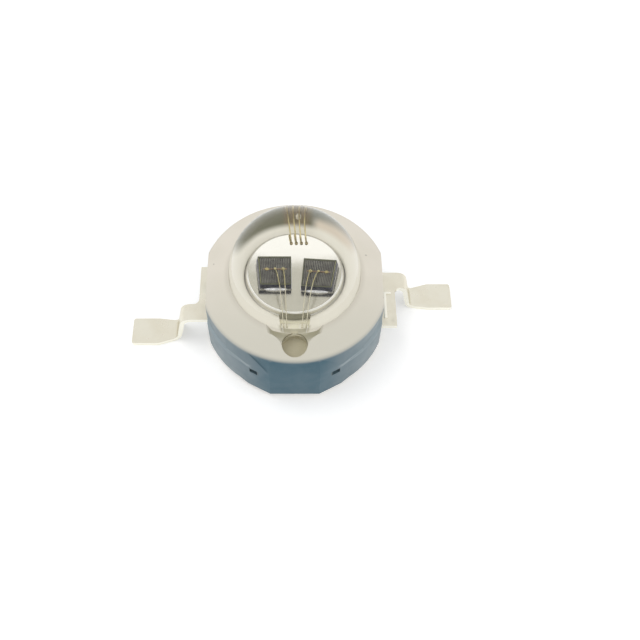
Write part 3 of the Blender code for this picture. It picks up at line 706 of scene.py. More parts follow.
@dataclass(frozen=True)
class MouldedPlastic:
    """Warm white moulded plastic, one cream all through, with painted light and shade: painted shade and painted blue
    bounce light on the side wall, painted shade towards the front, round the lens and in its deep openings, and
    painted light on the shelf and the front window.

    The bands are in millimetres. Depth is measured down from the crown's slope.
    """

    crown: Colour = (0.815, 0.765, 0.670, 1.0)
    crown_deep: Colour = (0.780, 0.735, 0.635, 1.0)
    # Painted shade: the crown is painted darker towards the front and round the lens's base.
    crown_painted_shade_tints: tuple[Tint, ...] = (
        Tint("painted shade towards the front", (0.700, 0.675, 0.580, 1.0), (("Y", 0.5, -3.2),)),
        Tint("painted shade round the lens", (0.600, 0.560, 0.475, 1.0), (("Radius", 3.04, 2.80),), 0.5),
    )
    # Painted shade and painted blue bounce light: the side wall is the crown's cream plastic painted blue-grey, as it
    # looks in shade lit by blue light from below. It is deepest on the flat faces and the bosses' cheeks, paler
    # towards the leads, with a lighter painted band on the ledge and painted shade in the slots beside the bosses.
    painted_shade_wall_front: Colour = (0.060, 0.142, 0.190, 1.0)
    painted_shade_wall_side: Colour = (0.235, 0.300, 0.330, 1.0)
    painted_shade_wall_tints: tuple[Tint, ...] = (
        Tint("cheeks of the bosses", (0.160, 0.225, 0.260, 1.0), (("Across", 1.1, 2.1),)),
        Tint("sides", painted_shade_wall_side, (("Across", 2.0, 3.2),)),
        Tint("ledge", (0.330, 0.400, 0.430, 1.0), (("Z", 1.88, 1.98), ("Z", 2.18, 2.08), ("Across", 1.75, 2.0))),
        Tint("slots beside the bosses", (0.075, 0.120, 0.135, 1.0),
             (("Across", 1.46, 1.56), ("Across", 1.94, 1.84), ("Z", 1.47, 1.57), ("Z", 1.87, 1.77))),
    )
    # Painted shade: funnel darkens the funnels with their depth and fills the gap round the slug; the veil is painted
    # shade past the front wire ends and at the window's corners.
    funnel: Colour = (0.365, 0.342, 0.240, 1.0)
    painted_shade_veil: Colour = (0.500, 0.470, 0.350, 1.0)
    # The shelf is painted lighter, painted light that offsets its shade under the lens; the lens's seat and the
    # funnels are painted shade.
    seat_painted_light_and_shade_tints: tuple[Tint, ...] = (
        Tint("shelf", (0.880, 0.845, 0.735, 1.0), (("Z", 3.30, 3.18), ("Radius", 2.80, 2.79))),
        Tint("seat of the lens", (0.765, 0.722, 0.622, 1.0),
             (("Radius", 2.16, 2.40), ("Radius", 2.84, 2.79), ("Z", 3.30, 3.18))),
        Tint("funnel", funnel, (("Radius", 2.785, 2.795), ("Depth", 0.02, 0.26))),
    )
    # Painted shade over the shelf at the back, under the dome: olive on the left, round the back wires and on the
    # right, with a warm lighter patch on the right.
    shade: Colour = (0.145, 0.140, 0.080, 1.0)
    shade_bands: Bands = (("Radius", 1.60, 1.76), ("Y", 0.75, 1.30), ("Radius", 2.79, 2.72))
    shade_tints: tuple[Tint, ...] = (
        Tint("shade on the right", (0.175, 0.182, 0.140, 1.0), (("X", 0.30, 0.50),)),
        Tint("warm patch", (0.720, 0.630, 0.505, 1.0), (("X", 0.34, 0.60), ("Radius", 1.93, 1.77))),
        Tint("shade round the back wires", (0.200, 0.155, 0.080, 1.0), (("X", -0.32, -0.18), ("X", 0.44, 0.26))),
    )
    # Painted shade past the front wire ends, in the deep openings, at the window's corners and in the gap round the
    # slug; the front window's floor is painted lighter, painted light that offsets its shade in the recess.
    front_tints: tuple[Tint, ...] = (
        Tint("painted shade past the wire ends", painted_shade_veil, (("Radius", 1.88, 2.04), ("Y", -1.5, -1.7), ("Radius", 2.92, 2.84),
                                 ("Across", 0.62, 0.46), ("Z", 3.30, 3.18))),
        Tint("deep openings", (0.600, 0.555, 0.400, 1.0), (("Z", 3.06, 2.88), ("Radius", 2.1, 2.3))),
        Tint("front window", (0.900, 0.860, 0.680, 1.0),
             (("Z", 3.06, 3.00), ("Radius", 2.02, 1.86), ("Y", 0.5, -0.5))),
        Tint("corners of the window", painted_shade_veil,
             (("Radius", 1.58, 1.42), ("Y", -0.95, -1.15), ("Z", 3.04, 3.07), ("Across", 0.85, 0.50))),
        Tint("gap round the slug", funnel, (("Radius", 1.50, 1.40), ("Z", 3.12, 3.06))),
    )
    outer_bands: Bands = (("Radius", 3.59, 3.60),)
    pocket_bands: Bands = (("Across", 0.62, 0.58), ("Along", 3.89, 3.86), ("Z", 2.36, 2.39))
    painted_shade_wall_bands: Bands = (("Z", 3.13, 2.80), ("Upward", -0.9, -0.6))
    speck: Colour = (0.20, 0.18, 0.15, 1.0)
    speck_places: tuple[tuple[Point2, float], ...] = (((-3.45, 0.60), 0.045), ((3.04, 0.98), 0.060))
    speck_core: float = 0.3
    speck_strength: float = 0.45
    fleck_spacing: float = 0.62
    fleck_share: float = 0.012
    fleck_strength: float = 0.35
    cream_patch: float = 1.6
    wall_patch: float = 0.7
    wall_drift: float = 0.12
    polish_patch: float = 0.5
    roughness: Range = (0.37, 0.48)
    specular: float = 0.35
    grain: Point3 = (0.06, 0.25, 0.004)
    crown_line: float = 4.454
    crown_fall: float = 0.336

    def wall(self, canvas: Canvas, places: Places, effects: SharedEffects) -> Socket:
        """Colour of the side wall, all painted shade and painted blue bounce light: deepest at the flat faces, paler
        towards the leads, with a lighter painted band on the ledge.

        Args:
            canvas: Canvas of the material or group.
            places: Coordinates of the surface, by name.
            effects: The shared groups.

        Returns:
            The colour.
        """
        colour = paint(canvas, places, self.painted_shade_wall_front, self.painted_shade_wall_tints)
        return canvas.mix(effects.drift(canvas, self.wall_patch, 0.0, self.wall_drift), colour, self.painted_shade_wall_side)

    def inside(self, canvas: Canvas, places: Places, cream: object) -> Socket:
        """Colour under the lens and in the openings, for the plastic that the side wall doesn't reach, with painted
        light and shade: painted light on the shelf and the front window, painted shade on the lens's seat, in the
        funnels, the openings, the gap round the slug and over the shelf at the back.

        Args:
            canvas: Canvas of the material or group.
            places: Coordinates of the surface, by name.
            cream: The plain colour of the top.

        Returns:
            The colour.
        """
        colour = paint(canvas, places, cream, self.seat_painted_light_and_shade_tints)
        shade = paint(canvas, places, self.shade, self.shade_tints)
        colour = canvas.mix(canvas.region(places, self.shade_bands), colour, shade)
        return paint(canvas, places, colour, self.front_tints)

    def dot(self, canvas: Canvas, places: Places, centre: Point2, size: float) -> Socket:
        """A mask over one small round speck.

        Args:
            canvas: Canvas of the material or group.
            places: Coordinates of the surface, by name.
            centre: The speck's place.
            size: Its radius.

        Returns:
            The mask.
        """
        squares = [
            canvas.maths("POWER", canvas.maths("SUBTRACT", places[name], value), 2.0)
            for name, value in zip(("X", "Y"), centre)
        ]
        distance = canvas.maths("SQRT", canvas.maths("ADD", *squares))
        return canvas.span(distance, self.speck_core * size, size, self.speck_strength, 0.0)

    def make(self, effects: SharedEffects) -> Material:
        """The material, with its colour following the place on the housing.

        Args:
            effects: The shared groups.

        Returns:
            The material.
        """
        material, canvas, shader = new_material("moulded_white_plastic")
        places = effects.places(canvas)
        crown = canvas.maths("SUBTRACT", self.crown_line, canvas.maths("MULTIPLY", places["Radius"], self.crown_fall))
        places["Depth"] = canvas.maths("SUBTRACT", crown, places["Z"])
        cream = canvas.mix(effects.drift(canvas, self.cream_patch), self.crown, self.crown_deep)
        cream = paint(canvas, places, cream, self.crown_painted_shade_tints)
        solid = canvas.maths("SUBTRACT", 1.0, canvas.region(places, self.pocket_bands))
        outer = canvas.maths("MULTIPLY", canvas.region(places, self.outer_bands), solid)
        above = canvas.mix(outer, self.inside(canvas, places, cream), cream)
        # Where the side faces take the wall's painted shade and painted blue bounce light.
        painted_shade_wall_cover = canvas.maths("MULTIPLY", canvas.region(places, self.painted_shade_wall_bands), outer)
        colour = canvas.mix(painted_shade_wall_cover, above, self.wall(canvas, places, effects))
        for centre, size in self.speck_places:
            colour = canvas.mix(self.dot(canvas, places, centre, size), colour, self.speck)
        flecks = canvas.group(effects.specks_tree, Size_mm=self.fleck_spacing, Amount=self.fleck_share)
        faint = canvas.maths("MULTIPLY", flecks.outputs[0], self.fleck_strength)
        canvas.feed(shader.inputs["Base Color"], canvas.mix(faint, colour, self.speck))
        canvas.feed(shader.inputs["Roughness"], effects.drift(canvas, self.polish_patch, *self.roughness))
        shader.inputs["Specular IOR Level"].default_value = self.specular
        effects.grain(canvas, shader, self.grain)
        return material


@dataclass(frozen=True)
class SilverPlate:
    """Satin silver plating over copper, with a painted highlight on faces that look fore and aft, and frosted on the
    bond posts, which carry painted shade past the wire ends.
    """

    name: str = "lead_silver"
    colour: Colour = (0.780, 0.750, 0.640, 1.0)
    dull: Colour = (0.740, 0.700, 0.580, 1.0)
    # Painted highlight: faces that look fore and aft, chiefly the sheet's cut edges, are painted brighter, as though
    # lit from the front.
    painted_highlight_tints: tuple[Tint, ...] = (
        Tint("sheared edges", (0.900, 0.880, 0.780, 1.0), (("Fore and aft", 0.35, 0.75),)),
    )
    frosted: Colour = (0.960, 0.920, 0.780, 1.0)
    # Painted shade on the posts past the wire ends.
    post_painted_shade_tints: tuple[Tint, ...] = (
        Tint("under the plastic's veil", (0.500, 0.470, 0.350, 1.0), (("Radius", 1.88, 2.04),)),
    )
    post_bands: Bands = (("Z", 2.60, 2.80),)
    post_roughness: float = 0.6
    post_metallic: float = 0.15
    tone_patch: float = 0.9
    polish_patch: float = 0.35
    roughness: Range = (0.27, 0.41)
    grain: Point3 = (0.05, 0.25, 0.003)

    def make(self, effects: SharedEffects) -> Material:
        """The material, slightly uneven in tone and polish.

        Args:
            effects: The shared groups.

        Returns:
            The material.
        """
        material, canvas, shader = new_material(self.name)
        places = effects.places(canvas)
        face = canvas.mix(effects.drift(canvas, self.tone_patch), self.colour, self.dull)
        face = paint(canvas, places, face, self.painted_highlight_tints)
        post = canvas.region(places, self.post_bands)
        frosted = paint(canvas, places, self.frosted, self.post_painted_shade_tints)
        canvas.feed(shader.inputs["Base Color"], canvas.mix(post, face, frosted))
        rough = effects.drift(canvas, self.polish_patch, *self.roughness)
        canvas.feed(shader.inputs["Roughness"], canvas.blend(post, rough, self.post_roughness))
        canvas.feed(shader.inputs["Metallic"], canvas.blend(post, 1.0, self.post_metallic))
        effects.grain(canvas, shader, self.grain)
        return material


@dataclass(frozen=True)
class PolishedSilver:
    """The slug's bright plating, with painted light and shade over its top: a painted reflection at the back, painted
    shade at the front.
    """

    # Painted light and shade: the flat top runs from painted shade at the front to a painted bright reflection at the
    # back, along Y with a drifting edge.
    front: Colour = (0.520, 0.500, 0.415, 1.0)
    back: Colour = (0.985, 0.965, 0.890, 1.0)
    turn: Range = (0.10, 0.85)
    turn_patch: float = 0.8
    turn_drift: Range = (-0.10, 0.10)
    below: Colour = (0.760, 0.740, 0.670, 1.0)
    shaded: Colour = (0.300, 0.288, 0.200, 1.0)
    # The rounded rim: painted shade at its back, a painted highlight on its front.
    painted_shade_rim_back: Colour = (0.550, 0.520, 0.430, 1.0)
    rim_painted_highlight_tints: tuple[Tint, ...] = (Tint("front of the rim", (0.960, 0.950, 0.890, 1.0), (("Y", 0.45, -0.10),)),)
    flat_bands: Bands = (("Z", 3.22, 3.28),)
    shaded_bands: Bands = (("Across", 0.52, 0.38), ("Y", -0.9, -1.2))
    rim_bands: Bands = (("Radius", 1.345, 1.360), ("Z", 3.23, 3.25))
    worn_bands: Bands = (("Y", -0.46, -0.62),)
    polish_patch: float = 0.5
    roughness: Range = (0.07, 0.12)
    worn_roughness: float = 0.10
    wall_roughness: float = 0.32
    rim_roughness: float = 0.5
    grain: Point3 = (0.05, 0.05, 0.002)

    def make(self, effects: SharedEffects) -> Material:
        """The material, nearly a mirror on the flat top.

        Args:
            effects: The shared groups.

        Returns:
            The material.
        """
        material, canvas, shader = new_material("slug_silver")
        places = effects.places(canvas)
        along = canvas.maths("ADD", places["Y"], effects.drift(canvas, self.turn_patch, *self.turn_drift))
        top = canvas.mix(canvas.span(along, *self.turn), self.front, self.back)
        flat, rim = canvas.region(places, self.flat_bands), canvas.region(places, self.rim_bands)
        shaded = canvas.region(places, self.shaded_bands)
        colour = canvas.mix(flat, canvas.mix(shaded, self.below, self.shaded), top)
        # Painted highlight on the rim's front, painted shade on its back.
        line = paint(canvas, places, self.painted_shade_rim_back, self.rim_painted_highlight_tints)
        canvas.feed(shader.inputs["Base Color"], canvas.mix(rim, colour, line))
        worn = canvas.maths("MULTIPLY", canvas.region(places, self.worn_bands), self.worn_roughness)
        polish = canvas.maths("ADD", effects.drift(canvas, self.polish_patch, *self.roughness), worn)
        polish = canvas.blend(flat, self.wall_roughness, polish)
        canvas.feed(shader.inputs["Roughness"], canvas.blend(rim, polish, self.rim_roughness))
        plain = canvas.maths("MAXIMUM", rim, canvas.maths("MULTIPLY", shaded, canvas.blend(flat, 1.0, 0.0)))
        canvas.feed(shader.inputs["Metallic"], canvas.blend(plain, 1.0, 0.0))
        effects.grain(canvas, shader, self.grain)
        return material


@dataclass(frozen=True)
class ClearSilicone:
    """The optical clear of the lens and of the gel that fills it."""

    tint: Colour = (0.992, 0.992, 0.980, 1.0)
    ior: float = 1.41

    def make(self) -> Material:
        """Glass to the camera and in reflections, open to lamps and to diffuse light.

        Returns:
            The material.
        """
        material, canvas, shader = new_material("clear_silicone")
        shader.inputs["Base Color"].default_value = self.tint
        shader.inputs["Roughness"].default_value = 0.0
        shader.inputs["IOR"].default_value = self.ior
        shader.inputs["Transmission Weight"].default_value = 1.0
        path = canvas.add("ShaderNodeLightPath")
        passing = canvas.maths("MAXIMUM", path.outputs["Is Shadow Ray"], path.outputs["Is Diffuse Ray"])
        clear = canvas.add("ShaderNodeBsdfTransparent")
        clear.inputs["Color"].default_value = self.tint
        blend = canvas.add("ShaderNodeMixShader")
        for socket, source in zip(blend.inputs, (passing, shader.outputs[0], clear.outputs[0])):
            canvas.feed(socket, source)
        canvas.feed(canvas.tree.nodes["Material Output"].inputs["Surface"], blend.outputs[0])
        return material


@dataclass(frozen=True)
class DieCrystal:
    """Dark semiconductor: a greenish border, a grey field and near-black sawn sides."""

    centre: Point2
    turn_deg: float
    half: float
    name: str
    field_dark: Colour = (0.026, 0.024, 0.020, 1.0)
    field_light: Colour = (0.056, 0.052, 0.043, 1.0)
    border: Colour = (0.070, 0.072, 0.030, 1.0)
    border_inset: Range = (0.05, 0.02)
    side: Colour = (0.012, 0.014, 0.035, 1.0)
    top_bands: Bands = (("Upward", 0.5, 0.9),)
    roughness: Range = (0.24, 0.36)
    patch: float = 0.25

    def make(self, effects: SharedEffects) -> Material:
        """The material, in the die's own turned square.

        Args:
            effects: The shared groups.

        Returns:
            The material.
        """
        material, canvas, shader = new_material(self.name)
        places = effects.places(canvas)
        cosine, sine = math.cos(math.radians(self.turn_deg)), math.sin(math.radians(self.turn_deg))
        x, y = (canvas.maths("SUBTRACT", places[name], value) for name, value in zip(("X", "Y"), self.centre))
        across = canvas.maths("ADD", canvas.maths("MULTIPLY", x, cosine), canvas.maths("MULTIPLY", y, sine))
        along = canvas.maths("SUBTRACT", canvas.maths("MULTIPLY", y, cosine), canvas.maths("MULTIPLY", x, sine))
        rim = canvas.maths("MAXIMUM", canvas.maths("ABSOLUTE", across), canvas.maths("ABSOLUTE", along))
        edge = canvas.span(rim, *(self.half - inset for inset in self.border_inset))
        tone = effects.drift(canvas, self.patch)
        top = canvas.mix(edge, canvas.mix(tone, self.field_dark, self.field_light), self.border)
        canvas.feed(shader.inputs["Base Color"], canvas.mix(canvas.region(places, self.top_bands), self.side, top))
        canvas.feed(shader.inputs["Roughness"], canvas.blend(tone, *self.roughness))
        return material


@dataclass(frozen=True)
class DriftingFinish:
    """A small part's finish, whose tone and polish drift together: gold, bar metal, solder and the pale drop's
    painted highlight.
    """

    name: str
    colour: Colour
    deep: Colour
    roughness: Range
    patch: float = 0.2
    metallic: float = 1.0
    tints: tuple[Tint, ...] = ()
    grain: Point3 | None = None

    def make(self, effects: SharedEffects) -> Material:
        """The material, with a slight drift in tone.

        Args:
            effects: The shared groups.

        Returns:
            The material.
        """
        material, canvas, shader = new_material(self.name)
        tone = effects.drift(canvas, self.patch)
        colour = canvas.mix(tone, self.colour, self.deep)
        if self.tints:
            colour = paint(canvas, effects.places(canvas), colour, self.tints)
        canvas.feed(shader.inputs["Base Color"], colour)
        canvas.feed(shader.inputs["Roughness"], canvas.blend(tone, *self.roughness))
        shader.inputs["Metallic"].default_value = self.metallic
        if self.grain:
            effects.grain(canvas, shader, self.grain)
        return material


WIRE_GOLD = DriftingFinish(
    "bond_gold", (0.58, 0.52, 0.27, 1.0), (0.46, 0.41, 0.20, 1.0), (0.19, 0.32),
    tints=(Tint("over the slug's front", (0.66, 0.62, 0.47, 1.0), (("Y", -0.57, -0.67),)),),
)
BACK_GOLD = DriftingFinish(
    "back_bond_gold", (0.84, 0.73, 0.40, 1.0), (0.70, 0.60, 0.31, 1.0), (0.40, 0.53),
    tints=(Tint("foot on the slug", (0.40, 0.33, 0.19, 1.0), (("Y", 1.24, 1.14),)),),
)
PAD_GOLD = DriftingFinish("pad_gold", (0.46, 0.39, 0.17, 1.0), (0.34, 0.28, 0.12, 1.0), (0.37, 0.50))
BAR_METAL = DriftingFinish("bar_metal", (0.30, 0.21, 0.14, 1.0), (0.24, 0.17, 0.115, 1.0), (0.40, 0.53))
FINGER_METAL = DriftingFinish("finger_metal", (0.280, 0.270, 0.225, 1.0), (0.14, 0.135, 0.11, 1.0), (0.35, 0.48))
RIM_METAL = DriftingFinish("rim_line_metal", (0.42, 0.42, 0.20, 1.0), (0.32, 0.32, 0.15, 1.0), (0.30, 0.43))
SOLDER = DriftingFinish("attach_solder", (0.80, 0.80, 0.80, 1.0), (0.60, 0.60, 0.60, 1.0), (0.25, 0.45),
                        patch=0.12, grain=(0.03, 0.3, 0.003))
# Painted highlight: the pale drop on the back web stands in for highlights on the gel of the back pocket.
HIGHLIGHT_BLOB = DriftingFinish("pale_blob_painted_highlight", (0.760, 0.720, 0.590, 1.0), (0.480, 0.440, 0.320, 1.0), (0.2, 0.4),
                       patch=0.1, metallic=0.0)


@dataclass
class HeatSlug:
    """The silver-plated slug: base disc, collar, neck and the flat top that carries the dies. Sizes in mm."""

    base_radius: float = 2.80
    base_height: float = 0.90
    collar_radius: float = 2.20
    collar_height: float = 0.30
    neck_radius: float = 1.40
    top_height: float = 3.30
    top_round: float = 0.05
    proud: float = 0.21
    edge: float = 0.025
    top_steps: int = 10
    edge_steps: int = 4
    foot_steps: int = 6
    steps: int = 192

    @property
    def shelf_height(self) -> float:
        """Height of the housing's shelf, which the top stands proud of."""
        return self.top_height - self.proud

    def profile(self) -> list[Point2]:
        """The section, with a rounded edge on top and small rounds on the outer corners.

        Returns:
            Points (radius, height).
        """
        e, n, crown, foot = self.edge, self.edge_steps, self.top_round, 3.0 * self.edge
        shoulder = self.base_height + self.collar_height
        return [
            (0.0, self.top_height),
            (self.neck_radius - crown - 0.02, self.top_height),
            *arc((self.neck_radius - crown, self.top_height - crown), crown, 90.0, 0.0, self.top_steps),
            *arc((self.neck_radius + e, shoulder + e), e, 180.0, 270.0, n),
            *arc((self.collar_radius - e, shoulder - e), e, 90.0, 0.0, n),
            *arc((self.collar_radius + e, self.base_height + e), e, 180.0, 270.0, n),
            *arc((self.base_radius - e, self.base_height - e), e, 90.0, 0.0, n),
            *arc((self.base_radius - foot, foot), foot, 0.0, -90.0, self.foot_steps),
            (0.0, 0.0),
        ]

    def build(self, material: Material) -> Piece:
        """Turn the slug and hand it to the frame."""
        slug = Bench.lathe("heat_slug_turned", self.profile(), self.steps)
        return Bench.settle(slug, material, "silver_plate", ("heat_slug",), weighted=False)


@dataclass
class Housing:
    """The moulded housing with its crown, ledge, bosses, flats, slots, windows and pockets. Sizes in mm."""

    slug: HeatSlug
    fit: float = 0.012
    lens_fit: float = 0.012
    base_height: float = 0.30
    band_radius: float = 4.05
    drum_radius: float = 3.97
    foot_round: float = 0.08
    ledge_height: float = 2.00
    ledge_rise: float = 0.10
    rim_round: float = 0.14
    crown_rise: float = 0.43
    crown_drop: float = 0.40
    crown_round: float = 0.035
    boss_corners: tuple[Point2, ...] = ((2.85, 2.84), (2.00, 3.57), (1.05, 4.08))
    boss_inset: float = 0.02
    boss_drop: float = 0.10
    face_rise: float = 0.15
    bound: Point3 = (7.44, 10.0, 8.0)
    notch_size: Point3 = (0.36, 0.44, 0.30)
    notch_offset: float = 1.70
    notch_low: float = 1.52
    notch_turn_deg: float = 31.0
    lens_radius: float = 2.75
    window_half: float = 0.50
    window_sink: float = 0.14
    slot_half: float = 0.46
    slot_depth: float = 0.12
    back_slot_depth: float = 0.04
    slot_end: float = 1.66
    duct_half: float = 0.42
    duct_rise: float = 0.02
    pocket_distance: float = 3.28
    pocket_radius: float = 0.53
    pocket_depth: float = 0.45
    funnel_radius: float = 0.70
    funnel_half: float = 1.15
    funnel_bell: tuple[Point2, ...] = ((0.98, 2.93), (0.86, 3.02), (0.77, 3.13))
    funnel_depth: float = 0.28
    funnel_slope: tuple[Point2, ...] = ((-0.26, 0.0), (-0.18, 0.04), (-0.02, 0.24), (0.30, 0.60))
    funnel_start: float = 0.10
    clear: float = 0.40
    wall_left: float = 0.06
    sharp_deg: float = 24.0
    steps: int = 160

    @property
    def shelf_height(self) -> float:
        """Height of the shelf round the slug, under the lens."""
        return self.slug.shelf_height

    @property
    def window_floor(self) -> float:
        """Height of the bond windows' floor and of the posts in them."""
        return self.shelf_height - self.window_sink

    @property
    def crown_height(self) -> float:
        """Height of the crown at the lens."""
        return self.shelf_height + self.crown_rise

    @property
    def rim_height(self) -> float:
        """Height at which the crown meets the drum."""
        return self.crown_height - self.crown_drop

    @property
    def lens_bore(self) -> float:
        """Radius of the hole in the crown that the lens's skirt seats in."""
        return self.lens_radius + self.lens_fit

    @property
    def window_reach(self) -> float:
        """Distance of the windows' outer edge, a thin wall short of the lens's bore."""
        return math.sqrt(self.lens_bore**2 - self.window_half**2) - self.wall_left

    @property
    def fall(self) -> float:
        """How far the crown falls for each millimetre outwards."""
        return self.crown_drop / (self.drum_radius - self.lens_bore)

    def profile(self) -> list[Point2]:
        """The section, a closed ring.

        Returns:
            Points (radius, height).
        """
        slug, fit = self.slug, self.fit
        e = self.crown_round
        collar_top = slug.base_height + slug.collar_height + fit
        slope = 90.0 - math.degrees(math.atan(self.fall))
        rim = (self.drum_radius - self.rim_round, self.rim_height - self.rim_round)
        foot = (self.band_radius - self.foot_round, self.base_height + self.foot_round)
        return [
            *arc((self.lens_bore + e, self.crown_height - e), e, 180.0, slope, 4),
            *arc(rim, self.rim_round, slope, 0.0, 8),
            (self.drum_radius, self.ledge_height + self.ledge_rise),
            *arc((self.band_radius - e, self.ledge_height - e), e, 50.0, 0.0, 3),
            *arc(foot, self.foot_round, 0.0, -90.0, 4),
            (slug.base_radius + fit, self.base_height),
            (slug.base_radius + fit, slug.base_height + fit),
            (slug.collar_radius + fit, slug.base_height + fit),
            (slug.collar_radius + fit, collar_top),
            (slug.neck_radius + fit, collar_top),
            *arc((slug.neck_radius + fit + e, self.shelf_height - e), e, 180.0, 90.0, 4),
            (self.lens_bore, self.shelf_height),
        ]

    def boss(self, end: End) -> Piece:
        """The boss at one end: its face and cheeks stand upright, then lean back into the drum.

        Args:
            end: The front or the back.

        Returns:
            The boss.
        """
        lean = self.drum_radius - self.boss_inset
        leaning = [tuple(Vector(corner).normalized() * lean) for corner in self.boss_corners]
        outlines = [
            half_turned([*corners, *((-x, y) for x, y in reversed(corners))], end.value)
            for corners in (self.boss_corners, self.boss_corners, leaning)
        ]
        heights = [self.base_height, self.ledge_height + self.face_rise, self.rim_height - self.boss_drop]
        return Bench.loft(f"boss_{end.label}", outlines, heights)

    def funnel(self, grow: float, sign: int) -> list[Point2]:
        """Outline of the bell-shaped funnel over a pocket, grown sideways by this much.

        Args:
            grow: How far it grows.
            sign: 1 at the back, -1 at the front.

        Returns:
            The outline.
        """
        half, start = self.funnel_half + grow, self.lens_radius - self.clear
        right = [(half, self.lens_radius + self.funnel_start), *((x + grow, y) for x, y in self.funnel_bell)]
        return half_turned([
            (-half, start), (half, start), *right,
            *arc((0.0, self.pocket_distance), self.funnel_radius + grow, 0.0, 180.0, 24),
            *((-x, y) for x, y in reversed(right)),
        ], sign)

    def cutters(self, end: End) -> list[Piece]:
        """The window, slot, duct, pocket and funnel of one end.

        Args:
            end: The front or the back.

        Returns:
            The shapes to cut away.
        """
        above, inside = self.crown_height + self.clear, self.slug.neck_radius - self.clear
        sign, name, shelf = end.value, end.label, self.shelf_height

        def span(half: float, far: float) -> list[Point2]:
            """Outline from inside the slug to a distance."""
            return half_turned([(-half, inside), (half, inside), (half, far), (-half, far)], sign)

        slot_floor = shelf - (self.slot_depth if end is End.FRONT else self.back_slot_depth)
        slopes = [self.funnel(grow, sign) for grow, _ in self.funnel_slope]
        levels = [self.crown_height - self.funnel_depth + rise for _, rise in self.funnel_slope]
        centre = (0.0, sign * self.pocket_distance)
        duct_floor, duct_top = self.window_floor + self.duct_rise, shelf + self.fit + self.lens_fit
        return [
            Bench.prism(f"window_{name}", span(self.window_half, self.window_reach), self.window_floor, above),
            Bench.prism(f"slot_{name}", span(self.slot_half, self.slot_end), slot_floor, above),
            Bench.prism(f"duct_{name}", span(self.duct_half, self.pocket_distance), duct_floor, duct_top),
            Bench.disc(f"pocket_{name}", self.pocket_radius, shelf - self.pocket_depth, above, centre, 48),
            Bench.loft(f"funnel_{name}", slopes, levels),
        ]

    def notch(self, side: Side, end: End) -> Piece:
        """One small slot beside a boss, where the ledge stops.

        Args:
            side: The side of the boss.
            end: The end that the boss is at.

        Returns:
            The shape to cut away.
        """
        reach = math.sqrt(self.band_radius**2 - self.notch_offset**2)
        centre = (side.value * self.notch_offset, end.value * reach, self.notch_low + 0.5 * self.notch_size[2])
        turn = -side.value * end.value * self.notch_turn_deg
        return Bench.block(f"notch_{side.label}_{end.label}", self.notch_size, centre, turn)

    def build(self, material: Material, leads: list[Piece]) -> Piece:
        """Turn the section, join the bosses and cut every opening.

        Args:
            material: The plastic.
            leads: Clearance shapes of the two leads, used up by the cut.

        Returns:
            The housing.
        """
        body = Bench.lathe("housing_moulded", self.profile(), self.steps, closed=True)
        for end in End:
            Bench.combine(body, self.boss(end), Join.ADD)
        Bench.combine(body, Bench.block("flats", self.bound, (0.0, 0.0, 2.0)), Join.KEEP)
        for end in End:
            for cutter in self.cutters(end):
                Bench.combine(body, cutter, Join.CUT)
            for side in Side:
                Bench.combine(body, self.notch(side, end), Join.CUT)
        for lead in leads:
            Bench.combine(body, lead, Join.CUT)
        return Bench.settle(body, material, "white_plastic", ("housing",), self.sharp_deg)


